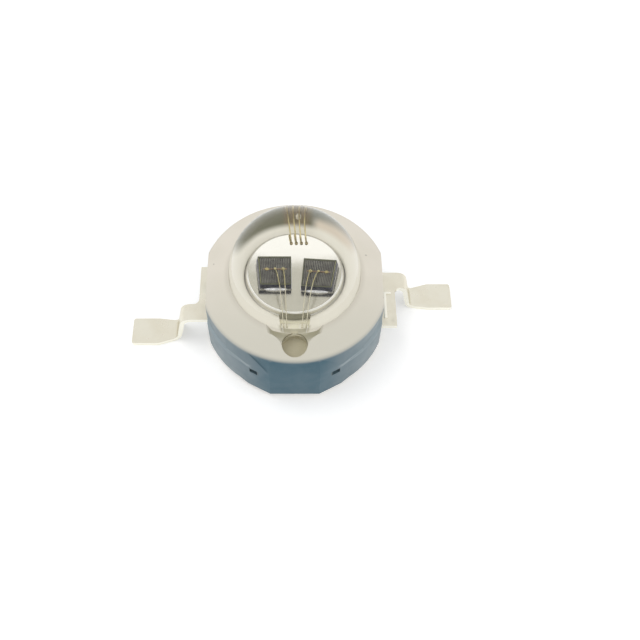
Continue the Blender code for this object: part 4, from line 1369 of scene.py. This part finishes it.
@dataclass
class GullWingLead:
    """One folded lead: ear, neck, drop and pad outside, strip and bond post inside. Sizes in mm."""

    side: Side
    post_top: float
    ear_reach: float
    flared: bool = False
    sheet: float = 0.20
    top_height: float = 1.68
    span: float = 14.50
    ear_end: float = 1.52
    ear_fillet: float = 0.26
    neck_width: float = 0.80
    neck_offset: float = 0.82
    flare_reach: float = 3.94
    flare_length: float = 0.36
    flare: float = 0.18
    drop_start: float = 4.93
    drop_end: float = 5.24
    upper_bend: float = 0.33
    lower_bend: float = 0.26
    pad_width: float = 1.27
    pad_offset: float = 0.92
    taper_start: float = 4.98
    taper_end: float = 6.08
    pad_corner: float = 0.10
    dimple_radius: float = 0.16
    dimple_depth: float = 0.02
    dimple_slope: tuple[float, ...] = (0.55, 1.0, 1.6)
    dimple: Point2 = (4.13, -1.24)
    ridge_corners: tuple[Point2, ...] = (
        (3.86, -1.14), (4.00, -1.14), (4.00, 0.08), (4.22, 0.08), (4.22, 0.19), (3.86, 0.19),
    )
    ridge_sink: float = 0.01
    ridge_height: float = 0.032
    ridge_round: float = 0.014
    strip_inner: float = 2.34
    strip_outer: float = 3.05
    post_half: float = 0.43
    post_tip: float = 1.62
    blank_half: float = 3.0
    bend_steps: int = 14
    strip_steps: int = 30

    def side_view(self, grow: float) -> list[Point2]:
        """Outline of the folded sheet seen from the front.

        Args:
            grow: How far each face stands off the true one.

        Returns:
            The outline.
        """
        lean = math.atan2(self.drop_end - self.drop_start, self.top_height - self.sheet)
        shift = (1.0 - math.sin(lean)) / math.cos(lean)

        def face(depth: float) -> list[Point2]:
            """The line of the sheet at a depth below its top face."""
            corners = [
                (self.strip_inner, self.top_height - depth),
                (self.drop_start - shift * depth, self.top_height - depth),
                (self.drop_end - shift * depth, self.sheet - depth),
                (0.5 * self.span + grow, self.sheet - depth),
            ]
            radii = [self.upper_bend + self.sheet - depth, self.lower_bend + depth]
            return filleted(corners, radii, self.bend_steps)

        return [*face(-grow), *reversed(face(self.sheet + grow))]

    def plan(self, grow: float) -> list[Point2]:
        """Outline of the sheet outside the housing seen from above.

        Args:
            grow: How far each face stands off the true one.

        Returns:
            The outline.
        """
        neck_low = self.neck_offset - 0.5 * self.neck_width - grow
        neck_high = self.neck_offset + 0.5 * self.neck_width + grow
        pad_low = self.pad_offset - 0.5 * self.pad_width - grow
        pad_high = self.pad_offset + 0.5 * self.pad_width + grow
        tip, reach = 0.5 * self.span + grow, self.ear_reach + grow
        corner, fillet, n = self.pad_corner, self.ear_fillet, self.bend_steps
        root = [(self.strip_inner, neck_high)]
        if self.flared:
            wide = neck_high + self.flare
            root = [(self.flare_reach, neck_high), (self.flare_reach - self.flare_length, wide),
                    (self.strip_inner, wide)]
        return [
            (self.strip_inner, -self.ear_end - grow),
            (reach, -self.ear_end - grow),
            *arc((reach + fillet, neck_low - fillet), fillet, 180.0, 90.0, n),
            (self.taper_start, neck_low),
            (self.taper_end, pad_low),
            *arc((tip - corner, pad_low + corner), corner, 270.0, 360.0, n),
            *arc((tip - corner, pad_high - corner), corner, 0.0, 90.0, n),
            (self.taper_end, pad_high),
            (self.taper_start, neck_high),
            *root,
        ]

    def strip(self, grow: float) -> list[Point2]:
        """Outline of the strip that curves round the slug to the post.

        Args:
            grow: How far each face stands off the true one.

        Returns:
            The outline.
        """
        middle = 0.5 * (self.strip_inner + self.strip_outer)
        last = 90.0 + math.degrees(math.asin((self.post_half + grow) / middle))
        return [
            *arc((0.0, 0.0), self.strip_outer + grow, 0.0, last, self.strip_steps),
            *arc((0.0, 0.0), self.strip_inner - grow, last, 0.0, self.strip_steps),
        ]

    def shape(self, name: str, grow: float = 0.0) -> Piece:
        """The folded sheet, or with grow its clearance shape.

        Args:
            name: The object's name.
            grow: How far each face stands off the true one.

        Returns:
            The solid, in millimetres.
        """
        sign = self.side.value
        wing = Bench.prism(name, self.side_view(grow), -self.blank_half, self.blank_half)
        upright = Matrix.Rotation(math.radians(90.0), 4, "X")
        turned = Matrix.Rotation(math.pi, 4, "Z") if sign < 0 else Matrix.Identity(4)
        wing.data.transform(turned @ upright)
        low, high = self.top_height - self.sheet - grow, self.top_height + grow
        plan = Bench.prism(f"{name}_plan", half_turned(self.plan(grow), sign), -1.0, high + 1.0)
        Bench.combine(wing, plan, Join.KEEP)
        half, near = self.post_half + grow, self.strip_inner - grow
        far, tip = self.strip_inner + self.sheet + grow, self.post_tip - grow
        post = self.post_top + grow

        def span(start: float) -> list[Point2]:
            """Outline from a distance to the riser's far face."""
            return half_turned([(-half, start), (half, start), (half, far), (-half, far)], sign)

        Bench.combine(wing, Bench.prism("strip", half_turned(self.strip(grow), sign), low, high), Join.ADD)
        Bench.combine(wing, Bench.prism("riser", span(near), low, post), Join.ADD)
        Bench.combine(wing, Bench.prism("tongue", span(tip), post - self.sheet - 2.0 * grow, post), Join.ADD)
        if self.side is Side.RIGHT and grow == 0.0:
            rings = [circle(self.dimple, self.dimple_radius * share, 32) for share in self.dimple_slope]
            pit = Bench.loft("dimple", rings, [high - self.dimple_depth, high, high + self.dimple_depth])
            Bench.combine(wing, pit, Join.CUT)
        return wing

    def ridge(self, material: Material) -> Piece:
        """The thin raised line that the stamping leaves along the right ear and round its corner.

        Args:
            material: Its finish.

        Returns:
            The ridge.
        """
        low, high = self.top_height - self.ridge_sink, self.top_height + self.ridge_height
        line = Bench.prism("ear_ridge", list(self.ridge_corners), low, high)
        Bench.round_edges(line, self.ridge_round)
        return Bench.settle(line, material, "silver_plate")

    def build(self, material: Material) -> Piece:
        """Fold the lead and hand it to the frame.

        Args:
            material: Its finish.

        Returns:
            The lead.
        """
        lead = self.shape(f"lead_{self.side.label}_folded")
        return Bench.settle(lead, material, "silver_plate", (f"lead_{self.side.label}",))


@dataclass
class PostWeb:
    """The web of plastic over each bond post, and a pale drop on the back one that is a painted highlight. Sizes in
    mm.
    """

    housing: Housing
    front: Point2 = (-0.13, 0.15)
    back: Point2 = (-0.505, 0.505)
    near: float = 1.66
    far: float = 2.55
    height: float = 0.012
    sill_half: float = 0.498
    sill_far: float = 1.55
    gap: float = 0.001
    drop_centre: Point2 = (0.085, 1.85)
    drop_size: Point3 = (0.13, 0.11, 0.05)

    @property
    def back_top(self) -> float:
        """Top of the web over the back post, which fills its window up to the shelf."""
        return self.housing.shelf_height

    def drop(self, material: Material) -> Piece:
        """The pale drop between the back wires, a painted highlight.

        Args:
            material: Its pale finish, a painted highlight.

        Returns:
            The drop.
        """
        place = Matrix.Translation((*self.drop_centre, self.back_top))
        drop = Bench.ellipsoid("painted_highlight_blob", self.drop_size, place, 32)
        return Bench.settle(drop, material, "white_plastic", weighted=False)

    def build(self, material: Material, highlight_blob_finish: Material) -> None:
        """Lay one web on each post, the sill before the front window and the pale drop, a painted highlight, on the
        back web.

        Args:
            material: The plastic.
            highlight_blob_finish: The drop's finish, a painted highlight.
        """
        self.drop(highlight_blob_finish)
        house, floor = self.housing, self.housing.window_floor
        neck = house.slug.neck_radius

        def brink(half: float, radius: float) -> list[Point2]:
            """The arc along the slug's wall between two edges."""
            side = math.degrees(math.acos(half / radius))
            return arc((0.0, 0.0), radius, 180.0 - side, side, 16)

        start = [(across, self.near) for across in self.front]
        sill = (-self.sill_half, self.sill_half)
        for label, end, near, (low, high), far, top in (
            ("post_web", End.FRONT, start, self.front, self.far, floor + self.height),
            ("post_web", End.BACK, brink(self.back[1], neck + house.fit), self.back, self.far, self.back_top),
            ("sill", End.FRONT, brink(sill[1], neck + self.gap), sill, self.sill_far, floor + 0.5 * self.height),
        ):
            outline = half_turned([*near, (high, far), (low, far)], end.value)
            Bench.settle(Bench.prism(f"{label}_{end.label}", outline, floor, top), material, "white_plastic")


@dataclass
class DomeLens:
    """The clear dome with the gel behind it, drawn as one optical body. Sizes in mm."""

    housing: Housing
    skirt: float = 0.50
    sink: float = 0.004
    meniscus: float = 0.01
    skirt_round: float = 0.05
    well_inset: float = 0.006
    slot_inset: float = 0.008
    duct_inset: float = -0.05
    well_rise: float = 0.05
    slot_rise: float = 0.04
    duct_sink: float = 0.002
    steps: int = 256
    rings: int = 72

    @property
    def centre_height(self) -> float:
        """Height of the dome's centre, where the skirt begins."""
        return self.housing.shelf_height + self.housing.fit + self.skirt

    def profile(self) -> list[Point2]:
        """The section: dome, skirt, and the underside that lies on the shelf and on the slug's top.

        Returns:
            Points (radius, height).
        """
        house, slug = self.housing, self.housing.slug
        radius, e, sink = house.lens_radius, self.skirt_round, self.sink
        floor = house.shelf_height - sink
        crown = slug.top_round
        return [
            *arc((0.0, self.centre_height), radius, 90.0, 0.0, self.rings),
            *arc((radius - e, floor + e), e, 0.0, -90.0, 4),
            (slug.neck_radius - sink, floor),
            (slug.neck_radius - sink, slug.top_height - crown),
            *arc((slug.neck_radius - crown, slug.top_height - crown), crown - sink, 0.0, 90.0, 10)[1:],
            (0.0, slug.top_height - sink),
        ]

    def build(self, material: Material) -> Piece:
        """Turn the dome and add the gel in the windows, the slots, the ducts and the pockets.

        Args:
            material: The clear finish.

        Returns:
            The lens with its gel.
        """
        house, sink = self.housing, self.sink
        shelf, low, wall = house.shelf_height, house.window_floor - sink, house.slug.neck_radius - sink
        lens = Bench.lathe("dome_lens_and_gel", self.profile(), self.steps)
        pocket_edge = house.pocket_distance + house.pocket_radius - house.lens_bore
        surface = house.crown_height - self.meniscus - house.fall * pocket_edge

        def span(half: float, far: float, inset: float, sign: int) -> list[Point2]:
            """Outline from the slug's wall to a distance."""
            side = math.degrees(math.acos(half / (wall - inset)))
            brink = arc((0.0, 0.0), wall - inset, 180.0 - side, side, 24)
            return half_turned([*brink, (half, far), (-half, far)], sign)

        for end in End:
            sign = end.value
            depth = house.slot_depth if end is End.FRONT else house.back_slot_depth
            centre, floor = (0.0, sign * house.pocket_distance), shelf - house.pocket_depth - sink
            well = span(house.window_half + sink, house.window_reach + sink, self.well_inset, sign)
            slot = span(house.slot_half + sink, house.slot_end + sink, self.slot_inset, sign)
            duct = span(house.duct_half, house.pocket_distance, self.duct_inset, sign)
            for arm in (
                Bench.prism("well", well, low, shelf + self.well_rise),
                Bench.prism("slot", slot, shelf - depth - sink, shelf + self.slot_rise),
                Bench.prism("duct", duct, house.window_floor + house.duct_rise - self.duct_sink, shelf),
                Bench.disc("plug", house.pocket_radius + sink, floor, surface, centre, 64),
            ):
                Bench.combine(lens, arm, Join.ADD)
        return Bench.settle(lens, material, "clear_lens", ("lens_dome", "silicone_gel"), weighted=False)


class PieceTree:
    """A Geometry Nodes tree that makes one kind of small piece, with named inputs for its sizes."""

    def __init__(self, name: str, kinds: dict[str, str]) -> None:
        """Start the tree.

        Args:
            name: The tree's name.
            kinds: Kind of each input, such as Float; Material comes last by itself.
        """
        self.tree = bpy.data.node_groups.new(name, "GeometryNodeTree")
        for label, kind in {**kinds, "Material": "Material"}.items():
            self.tree.interface.new_socket(label, in_out="INPUT", socket_type=f"NodeSocket{kind}")
        self.tree.interface.new_socket("Geometry", in_out="OUTPUT", socket_type="NodeSocketGeometry")
        self.canvas = Canvas(self.tree)
        self.given = self.canvas.add("NodeGroupInput").outputs
        self.result = self.canvas.add("NodeGroupOutput")

    def place(self, kind: str, inputs: dict[object, object], **settings: object) -> Socket:
        """A node with its inputs fed, and its first output.

        Args:
            kind: Blender's name for the node.
            inputs: What feeds its inputs.
            settings: Its properties, by name.

        Returns:
            The output.
        """
        node = self.canvas.add(kind, **settings)
        for label, source in inputs.items():
            self.canvas.feed(node.inputs[label], source)
        return node.outputs[0]

    def vector(self, *parts: object) -> Socket:
        """A vector of up to three parts."""
        return self.place("ShaderNodeCombineXYZ", dict(enumerate(parts)))

    def close(self, geometry: Socket) -> None:
        """Make the instances real, give them their material and put them out.

        Args:
            geometry: What the tree has made.
        """
        real = self.place("GeometryNodeRealizeInstances", {0: geometry})
        dressed = self.place("GeometryNodeSetMaterial", {"Geometry": real, "Material": self.given["Material"]})
        self.canvas.feed(self.result.inputs[0], dressed)

    def grow(self, name: str, values: dict[str, object]) -> Piece:
        """Run the tree and keep its result as a plain mesh.

        Args:
            name: The piece's name.
            values: Value of each named input.

        Returns:
            The object with its plain mesh.
        """
        obj = Bench.link(name, bpy.data.meshes.new(name))
        modifier = obj.modifiers.new("nodes", "NODES")
        modifier.node_group = self.tree
        sockets = {item.name: item.identifier for item in self.tree.interface.items_tree if item.in_out == "INPUT"}
        for label, value in values.items():
            modifier[sockets[label]] = value
        Bench.bake(obj)
        return obj


class GridTree(PieceTree):
    """Lays the fine contact fingers over a die."""

    def __init__(self) -> None:
        """Build the tree once."""
        sizes = dict.fromkeys(("Spread", "Length", "Width", "Height"), "Float")
        super().__init__("contact_fingers", {"Count": "Int", **sizes})
        maths, given = self.canvas.maths, self.given
        pitch = maths("DIVIDE", given["Spread"], maths("SUBTRACT", given["Count"], 1.0))
        row = self.place("GeometryNodeMeshLine", {
            "Count": given["Count"], "Offset": self.vector(pitch),
            "Start Location": self.vector(maths("MULTIPLY", given["Spread"], -0.5)),
        }, mode="OFFSET")
        size = self.vector(given["Width"], given["Length"], given["Height"])
        finger = self.place("GeometryNodeMeshCube", {"Size": size})
        self.close(self.place("GeometryNodeInstanceOnPoints", {"Points": row, "Instance": finger}))


class WireTree(PieceTree):
    """Draws one bond wire with its ball and its flattened stitch."""

    RING_STEPS = 14
    BALL_SEGMENTS = 20
    BALL_RINGS = 12
    STITCH_SHARE = 0.62

    def __init__(self) -> None:
        """Build the tree once."""
        ends = dict.fromkeys(("Start", "Start Handle", "End Handle", "End"), "Vector")
        sizes = dict.fromkeys(("Radius", "Ball Radius", "Ball Height"), "Float")
        super().__init__("bond_wire", {**ends, **sizes, "Steps": "Int"})
        given = self.given
        path = self.place(
            "GeometryNodeCurvePrimitiveBezierSegment",
            {"Resolution": given["Steps"], **{label: given[label] for label in ends}}, mode="POSITION",
        )
        ring = self.place(
            "GeometryNodeCurvePrimitiveCircle",
            {"Resolution": self.RING_STEPS, "Radius": given["Radius"]}, mode="RADIUS",
        )
        both = self.canvas.add("GeometryNodeJoinGeometry")
        tube = self.place("GeometryNodeCurveToMesh", {"Curve": path, "Profile Curve": ring, "Fill Caps": True})
        for part in (tube, self.bond("Start", 1.0), self.bond("End", self.STITCH_SHARE)):
            self.canvas.feed(both.inputs[0], part)
        self.close(both.outputs[0])

    def bond(self, label: str, spread: float) -> Socket:
        """A flattened ball at one end of the wire.

        Args:
            label: The end that it sits at.
            spread: Its size, as a share of the ball's.

        Returns:
            The ball.
        """
        given, maths = self.given, self.canvas.maths
        ball = self.place("GeometryNodeMeshUVSphere", {
            "Segments": self.BALL_SEGMENTS, "Rings": self.BALL_RINGS, "Radius": given["Ball Radius"],
        })
        flat = maths("MULTIPLY", maths("DIVIDE", given["Ball Height"], given["Ball Radius"]), spread)
        squash = self.vector(spread, spread, flat)
        return self.place("GeometryNodeTransform", {"Geometry": ball, "Translation": given[label], "Scale": squash})


@dataclass
class DieStack:
    """One die on its solder, with its contact fingers, bar and two bond pads. Sizes in mm."""

    side: Side
    slug: HeatSlug
    centre: Point2
    turn_deg: float
    width: float = 0.955
    depth: float = 1.00
    thickness: float = 0.20
    solder_thickness: float = 0.03
    solder_margin: float = 0.012
    bead: Point3 = (0.72, 0.15, 0.17)
    bead_shift: float = 0.01
    gap: float = 0.005
    fingers: int = 17
    finger_width: float = 0.017
    finger_height: float = 0.004
    finger_margin: float = 0.075
    bar_offset: float = 0.06
    bar_length: float = 0.70
    bar_width: float = 0.035
    bar_height: float = 0.012
    pad_radius: float = 0.055
    pad_spacing: float = 0.48
    crust: Point3 = (0.1265, 0.0935, 0.036)
    crust_sink: float = 0.004
    edge_round: float = 0.006
    rim_width: float = 0.010
    rim_inset: float = 0.022
    rim_margin: float = 0.05

    @property
    def top(self) -> float:
        """Height of the die's top face."""
        return self.slug.top_height + 2.0 * self.gap + self.solder_thickness + self.thickness

    @property
    def pad_top(self) -> float:
        """Height of the bond pads' top faces."""
        return self.top + self.gap + self.bar_height

    @property
    def turn(self) -> Matrix:
        """The die's turn about Z."""
        return Matrix.Rotation(math.radians(self.turn_deg), 4, "Z")

    @property
    def pad_offsets(self) -> Point2:
        """Places of the two bond pads along the bar."""
        return (-0.5 * self.pad_spacing, 0.5 * self.pad_spacing)

    def on_bar(self, offset: float) -> Point2:
        """A point on the bar, this far to the right of its middle.

        Args:
            offset: Distance from the bar's middle.

        Returns:
            The point.
        """
        angle = math.radians(self.turn_deg)
        x, y = offset, self.bar_offset
        return (self.centre[0] + x * math.cos(angle) - y * math.sin(angle),
                self.centre[1] + x * math.sin(angle) + y * math.cos(angle))

    def solder_bead(self, low: float) -> Piece:
        """A long low mound of solder against the die's front side, drawn out to a point at both ends.

        Args:
            low: Height of its underside.

        Returns:
            The bead.
        """
        shape = bmesh.new()
        bmesh.ops.create_uvsphere(shape, u_segments=48, v_segments=24, radius=0.5)
        bmesh.ops.bisect_plane(
            shape, geom=[*shape.verts, *shape.edges, *shape.faces], plane_co=(0.0, 0.0, 0.0),
            plane_no=(0.0, 0.0, 1.0), clear_inner=True,
        )
        bmesh.ops.holes_fill(shape, edges=[edge for edge in shape.edges if edge.is_boundary])
        bead = Bench.solid("bead", shape)
        shift = self.turn @ Vector((self.bead_shift, -0.5 * self.depth, 0.0))
        place = Matrix.Translation((self.centre[0] + shift.x, self.centre[1] + shift.y, low))
        bead.data.transform(place @ self.turn @ Matrix.Diagonal((*self.bead, 1.0)))
        return bead

    def slab(self, name: str, size: Point3, middle: Point2, low: float) -> Piece:
        """A block of the stack, its middle given in the die's own turned square.

        Args:
            name: The object's name.
            size: Its three sides.
            middle: Its place in the square.
            low: Height of its underside.

        Returns:
            The block.
        """
        place = self.turn @ Vector((*middle, 0.0))
        centre = (self.centre[0] + place.x, self.centre[1] + place.y, low + 0.5 * size[2])
        return Bench.block(name, size, centre, self.turn_deg)

    def pad_crust(self, name: str, offset: float) -> Piece:
        """The rounded gold that stands on a bond pad."""
        place = Matrix.Translation((*self.on_bar(offset), self.pad_top - self.crust_sink))
        return Bench.ellipsoid(name, self.crust, place @ self.turn, 24)

    def contact_bar(self) -> Piece:
        """The thin bar with its two bond pads.

        Returns:
            The bar.
        """
        low = self.top + self.gap
        size = (self.bar_length, self.bar_width, self.bar_height)
        bar = self.slab(f"contact_{self.side.label}", size, (0.0, self.bar_offset), low)
        for offset in self.pad_offsets:
            pad = Bench.disc("pad", self.pad_radius, low, self.pad_top, self.on_bar(offset), 40)
            Bench.combine(bar, pad, Join.ADD)
        return bar

    def contact_fingers(self, metal: Material, grid: GridTree) -> Piece:
        """The fine lines of metal over the die's field.

        Args:
            metal: Their finish.
            grid: The tree that lays them.

        Returns:
            The fingers.
        """
        fingers = grid.grow(f"fingers_{self.side.label}", {
            "Count": self.fingers, "Spread": self.width - 2.0 * self.finger_margin,
            "Length": self.depth - 2.0 * self.finger_margin, "Width": self.finger_width,
            "Height": self.finger_height, "Material": metal,
        })
        place = Matrix.Translation((*self.centre, self.top + 0.5 * self.finger_height))
        fingers.data.transform(place @ self.turn)
        return fingers

    def build(self, metals: dict[str, Material], grid: GridTree) -> None:
        """Make every layer of the stack.

        Args:
            metals: The finishes, by name, with the die's own under "crystal".
            grid: The tree that lays the fingers.
        """
        label, floor = self.side.label, self.slug.top_height + self.gap
        for index, offset in enumerate(self.pad_offsets):
            crust = self.pad_crust(f"pad_{label}_{index + 1}", offset)
            Bench.settle(crust, metals["pad_gold"], "gold", weighted=False)
        spread = 2.0 * self.solder_margin
        layer = (self.width + spread, self.depth + spread, self.solder_thickness)
        attach = self.slab(f"solder_{label}", layer, (0.0, 0.0), floor)
        Bench.combine(attach, self.solder_bead(floor), Join.ADD)
        Bench.settle(attach, metals["attach_solder"], "grey_attach", (f"die_attach_{label}",))
        block = (self.width, self.depth, self.thickness)
        die = self.slab(f"die_{label}_cut", block, (0.0, 0.0), floor + self.solder_thickness + self.gap)
        Bench.round_edges(die, self.edge_round)
        Bench.settle(die, metals["crystal"], "dark_die", (f"die_{label}",))
        Bench.settle(self.contact_bar(), metals["bar_metal"], "gold", (f"contact_bar_{label}",))
        Bench.settle(self.contact_fingers(metals["finger_metal"], grid), metals["finger_metal"], "gold")
        line_size = (self.rim_width, self.depth - 2.0 * self.rim_margin, self.finger_height)
        across = self.side.value * (0.5 * self.width - self.rim_inset)
        line = self.slab(f"rim_line_{label}", line_size, (across, 0.0), self.top)
        Bench.settle(line, metals["rim_line_metal"], "gold")


@dataclass
class WireBonds:
    """The eight gold wires: four from the dies to the front post, four from the slug to the back. Sizes in mm."""

    slug: HeatSlug
    dies: list[DieStack]
    post_top: float
    back_top: float
    radius: float = 0.015
    back_radius: float = 0.018
    ball_radius: float = 0.042
    ball_height: float = 0.035
    gap: float = 0.005
    post_distance: float = 1.88
    back_distance: float = 1.93
    front_bonds: tuple[float, ...] = (-0.38, -0.27, 0.25, 0.39)
    post_centre: float = 0.03
    back_spacing: float = 0.135
    slug_spacing: float = 0.135
    slug_distance: float = 1.10
    slug_centre: float = 0.11
    front_arch: float = 0.34
    back_arch: float = 0.28
    first_handle: Point3 = (0.50, 0.26, 0.26)
    last_handle: Point3 = (0.10, 1.0 / 3.0, 1.0 / 3.0)
    first_lift: float = 1.15
    steps: int = 40

    def ends(self) -> list[tuple[str, Point3, Point3, float]]:
        """Name, start, end and arch of each wire.

        Returns:
            One row for each wire.
        """
        left, right = self.dies
        reach = 0.5 * left.pad_spacing
        starts = [(*die.on_bar(offset), die.pad_top) for die, offset in
                  ((left, 0.0), (left, reach), (right, -reach), (right, 0.0))]
        post = self.post_top + self.gap
        found = []
        for index, across in enumerate(self.front_bonds):
            end = (across, -self.post_distance, post)
            found.append((f"front_wire_{index + 1}", starts[index], end, self.front_arch))
        for index in range(4):
            offset = index - 1.5
            start = (self.slug_centre + offset * self.slug_spacing, self.slug_distance, self.slug.top_height)
            end = (self.post_centre + offset * self.back_spacing, self.back_distance, self.back_top + self.gap)
            found.append((f"back_wire_{index + 1}", start, end, self.back_arch))
        return found

    def build(self, gold: Material, bright: Material, wires: WireTree) -> None:
        """Draw each wire as a tube with its ball bond and its stitch; the back ones are brighter.

        Args:
            gold: Finish of the front wires.
            bright: Finish of the back wires.
            wires: The tree that draws a wire.
        """
        for node, start, end, arch in self.ends():
            metal, radius = (bright, self.back_radius) if node.startswith("back") else (gold, self.radius)
            begin = Vector(start) + Vector((0.0, 0.0, 0.5 * self.ball_height + self.gap))
            finish = Vector(end) + Vector((0.0, 0.0, radius))
            run, lift = finish - begin, Vector((0.0, 0.0, 4.0 / 3.0 * arch))
            wire = wires.grow(f"{node}_gold", {
                "Start": begin, "End": finish,
                "Start Handle": begin + run * Vector(self.first_handle) + self.first_lift * lift,
                "End Handle": finish - run * Vector(self.last_handle) + lift,
                "Radius": radius, "Ball Radius": self.ball_radius, "Ball Height": 0.5 * self.ball_height,
                "Steps": self.steps, "Material": metal,
            })
            Bench.settle(wire, metal, "gold", (node,), weighted=False)


@dataclass
class Studio:
    """The pale floor, the soft lamps and the camera at the photograph's angle."""

    elevation_deg: float = 59.40
    distance_mm: float = 38.0
    pixels_per_mm: float = 21.94
    principal_px: Point2 = (294.76, 315.25)
    frame_px: float = 640.0
    sensor_mm: float = 36.0
    floor_half_mm: float = 400.0
    floor_colour: Colour = (0.90, 0.90, 0.90, 1.0)
    floor_glow: float = 0.34
    world_level: float = 0.64
    lamps: tuple[tuple[str, Point3, float, float], ...] = (
        ("key_panel", (-50.0, 25.0, 120.0), 90.0, 0.044),
        ("fill_panel", (90.0, -40.0, 85.0), 80.0, 0.018),
    )

    @staticmethod
    def put(name: str, data: bpy.types.ID, place: Point3) -> Piece:
        """A camera or lamp in its place, given in millimetres.

        Args:
            name: Its name.
            data: The camera or lamp.
            place: Its place.

        Returns:
            The object.
        """
        obj = bpy.data.objects.new(name, data)
        bpy.context.scene.collection.objects.link(obj)
        obj.location = Vector(place) * METRES_PER_MM
        return obj

    def camera(self) -> None:
        """A camera that stands where the photograph was taken from."""
        data = bpy.data.cameras.new("photo_camera")
        data.sensor_width = self.sensor_mm
        data.lens = self.pixels_per_mm * self.distance_mm / self.frame_px * self.sensor_mm
        data.shift_x = (0.5 * self.frame_px - self.principal_px[0]) / self.frame_px
        data.shift_y = (self.principal_px[1] - 0.5 * self.frame_px) / self.frame_px
        data.clip_start = 0.001
        data.clip_end = 10.0
        angle = math.radians(self.elevation_deg)
        place = (0.0, -self.distance_mm * math.cos(angle), self.distance_mm * math.sin(angle))
        camera = self.put("photo_camera", data, place)
        camera.rotation_euler = (math.radians(90.0) - angle, 0.0, 0.0)
        bpy.context.scene.camera = camera

    def floor(self) -> None:
        """A pale floor that keeps the shadow, and is white to the camera and in reflections."""
        half = self.floor_half_mm
        plane = Bench.prism("studio_floor", [(-half, -half), (half, -half), (half, half), (-half, half)], -1.0, 0.0)
        plane.data.transform(Matrix.Scale(METRES_PER_MM, 4))
        material, canvas, shader = new_material("pale_floor")
        shader.inputs["Base Color"].default_value = self.floor_colour
        shader.inputs["Roughness"].default_value = 0.9
        shader.inputs["Specular IOR Level"].default_value = 0.0
        shader.inputs["Emission Color"].default_value = (1.0, 1.0, 1.0, 1.0)
        seen = self.seen_directly(canvas)
        canvas.feed(shader.inputs["Emission Strength"], canvas.maths("MULTIPLY", seen, self.floor_glow))
        plane.data.materials.append(material)

    @staticmethod
    def seen_directly(canvas: Canvas) -> Socket:
        """One where a ray comes from the camera, from a mirror or through glass.

        Args:
            canvas: Canvas of the material or group.

        Returns:
            One or zero.
        """
        path = canvas.add("ShaderNodeLightPath")
        seen = canvas.maths("MAXIMUM", path.outputs["Is Camera Ray"], path.outputs["Is Glossy Ray"])
        return canvas.maths("MAXIMUM", seen, path.outputs["Is Transmission Ray"])

    def world(self) -> None:
        """An even soft sky, white behind the object."""
        world = bpy.data.worlds.new("soft_sky")
        world.use_nodes = True
        canvas = Canvas(world.node_tree)
        background = world.node_tree.nodes["Background"]
        seen = self.seen_directly(canvas)
        canvas.feed(background.inputs["Strength"], canvas.span(seen, 0.0, 1.0, self.world_level, 1.0, smooth=False))
        background.inputs["Color"].default_value = (1.0, 1.0, 1.0, 1.0)
        bpy.context.scene.world = world

    def light(self) -> None:
        """Two broad panels that cast soft shadows and show in no reflection."""
        for name, place, size, power in self.lamps:
            data = bpy.data.lights.new(name, "AREA")
            data.shape = "DISK"
            data.size = size * METRES_PER_MM
            data.energy = power
            lamp = self.put(name, data, place)
            lamp.rotation_euler = (-Vector(place)).to_track_quat("-Z", "Y").to_euler()
            lamp.visible_glossy = False
            lamp.visible_transmission = False

    def build(self) -> None:
        """Set up the whole studio."""
        self.camera()
        self.floor()
        self.world()
        self.light()
        bpy.context.scene.view_settings.view_transform = "Standard"


def main() -> None:
    """Build and dress the LED, sub-assembly by sub-assembly."""
    logging.basicConfig(level=logging.INFO, format="%(name)s: %(message)s")
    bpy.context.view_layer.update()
    effects = SharedEffects()
    plastic = MouldedPlastic().make(effects)
    lead_silver = SilverPlate().make(effects)
    slug_silver = PolishedSilver().make(effects)
    silicone = ClearSilicone().make()
    small_parts = (WIRE_GOLD, BACK_GOLD, PAD_GOLD, BAR_METAL, FINGER_METAL, RIM_METAL, SOLDER, HIGHLIGHT_BLOB)
    finishes = {finish.name: finish.make(effects) for finish in small_parts}

    slug = HeatSlug()
    slug.build(slug_silver)
    housing = Housing(slug)
    leads = [
        GullWingLead(Side.LEFT, housing.window_floor, ear_reach=4.18),
        GullWingLead(Side.RIGHT, housing.window_floor, ear_reach=4.40, flared=True, span=14.30),
    ]
    for lead in leads:
        lead.build(lead_silver)
    # Painted highlight: the ridge takes a brighter copy of the lead silver, standing in for the light that it
    # catches.
    ridge_painted_highlight_silver = SilverPlate("ridge_painted_highlight_silver", (0.93, 0.91, 0.81, 1.0), (0.88, 0.86, 0.76, 1.0)).make(effects)
    leads[1].ridge(ridge_painted_highlight_silver)
    rooms = [lead.shape(f"room_{lead.side.label}", housing.fit) for lead in leads]
    housing.build(plastic, rooms)
    web = PostWeb(housing)
    web.build(plastic, finishes[HIGHLIGHT_BLOB.name])
    dies = [
        DieStack(Side.LEFT, slug, (-0.58, 0.06), 0.0),
        DieStack(Side.RIGHT, slug, (0.70, -0.03), -4.0),
    ]
    grid = GridTree()
    for die in dies:
        crystal = DieCrystal(die.centre, die.turn_deg, 0.5 * die.width, f"die_crystal_{die.side.label}").make(effects)
        die.build({**finishes, "crystal": crystal}, grid)
    bonds = WireBonds(slug, dies, housing.window_floor, web.back_top)
    bonds.build(finishes[WIRE_GOLD.name], finishes[BACK_GOLD.name], WireTree())
    DomeLens(housing).build(silicone)
    Studio().build()


if __name__ == "__main__":
    main()
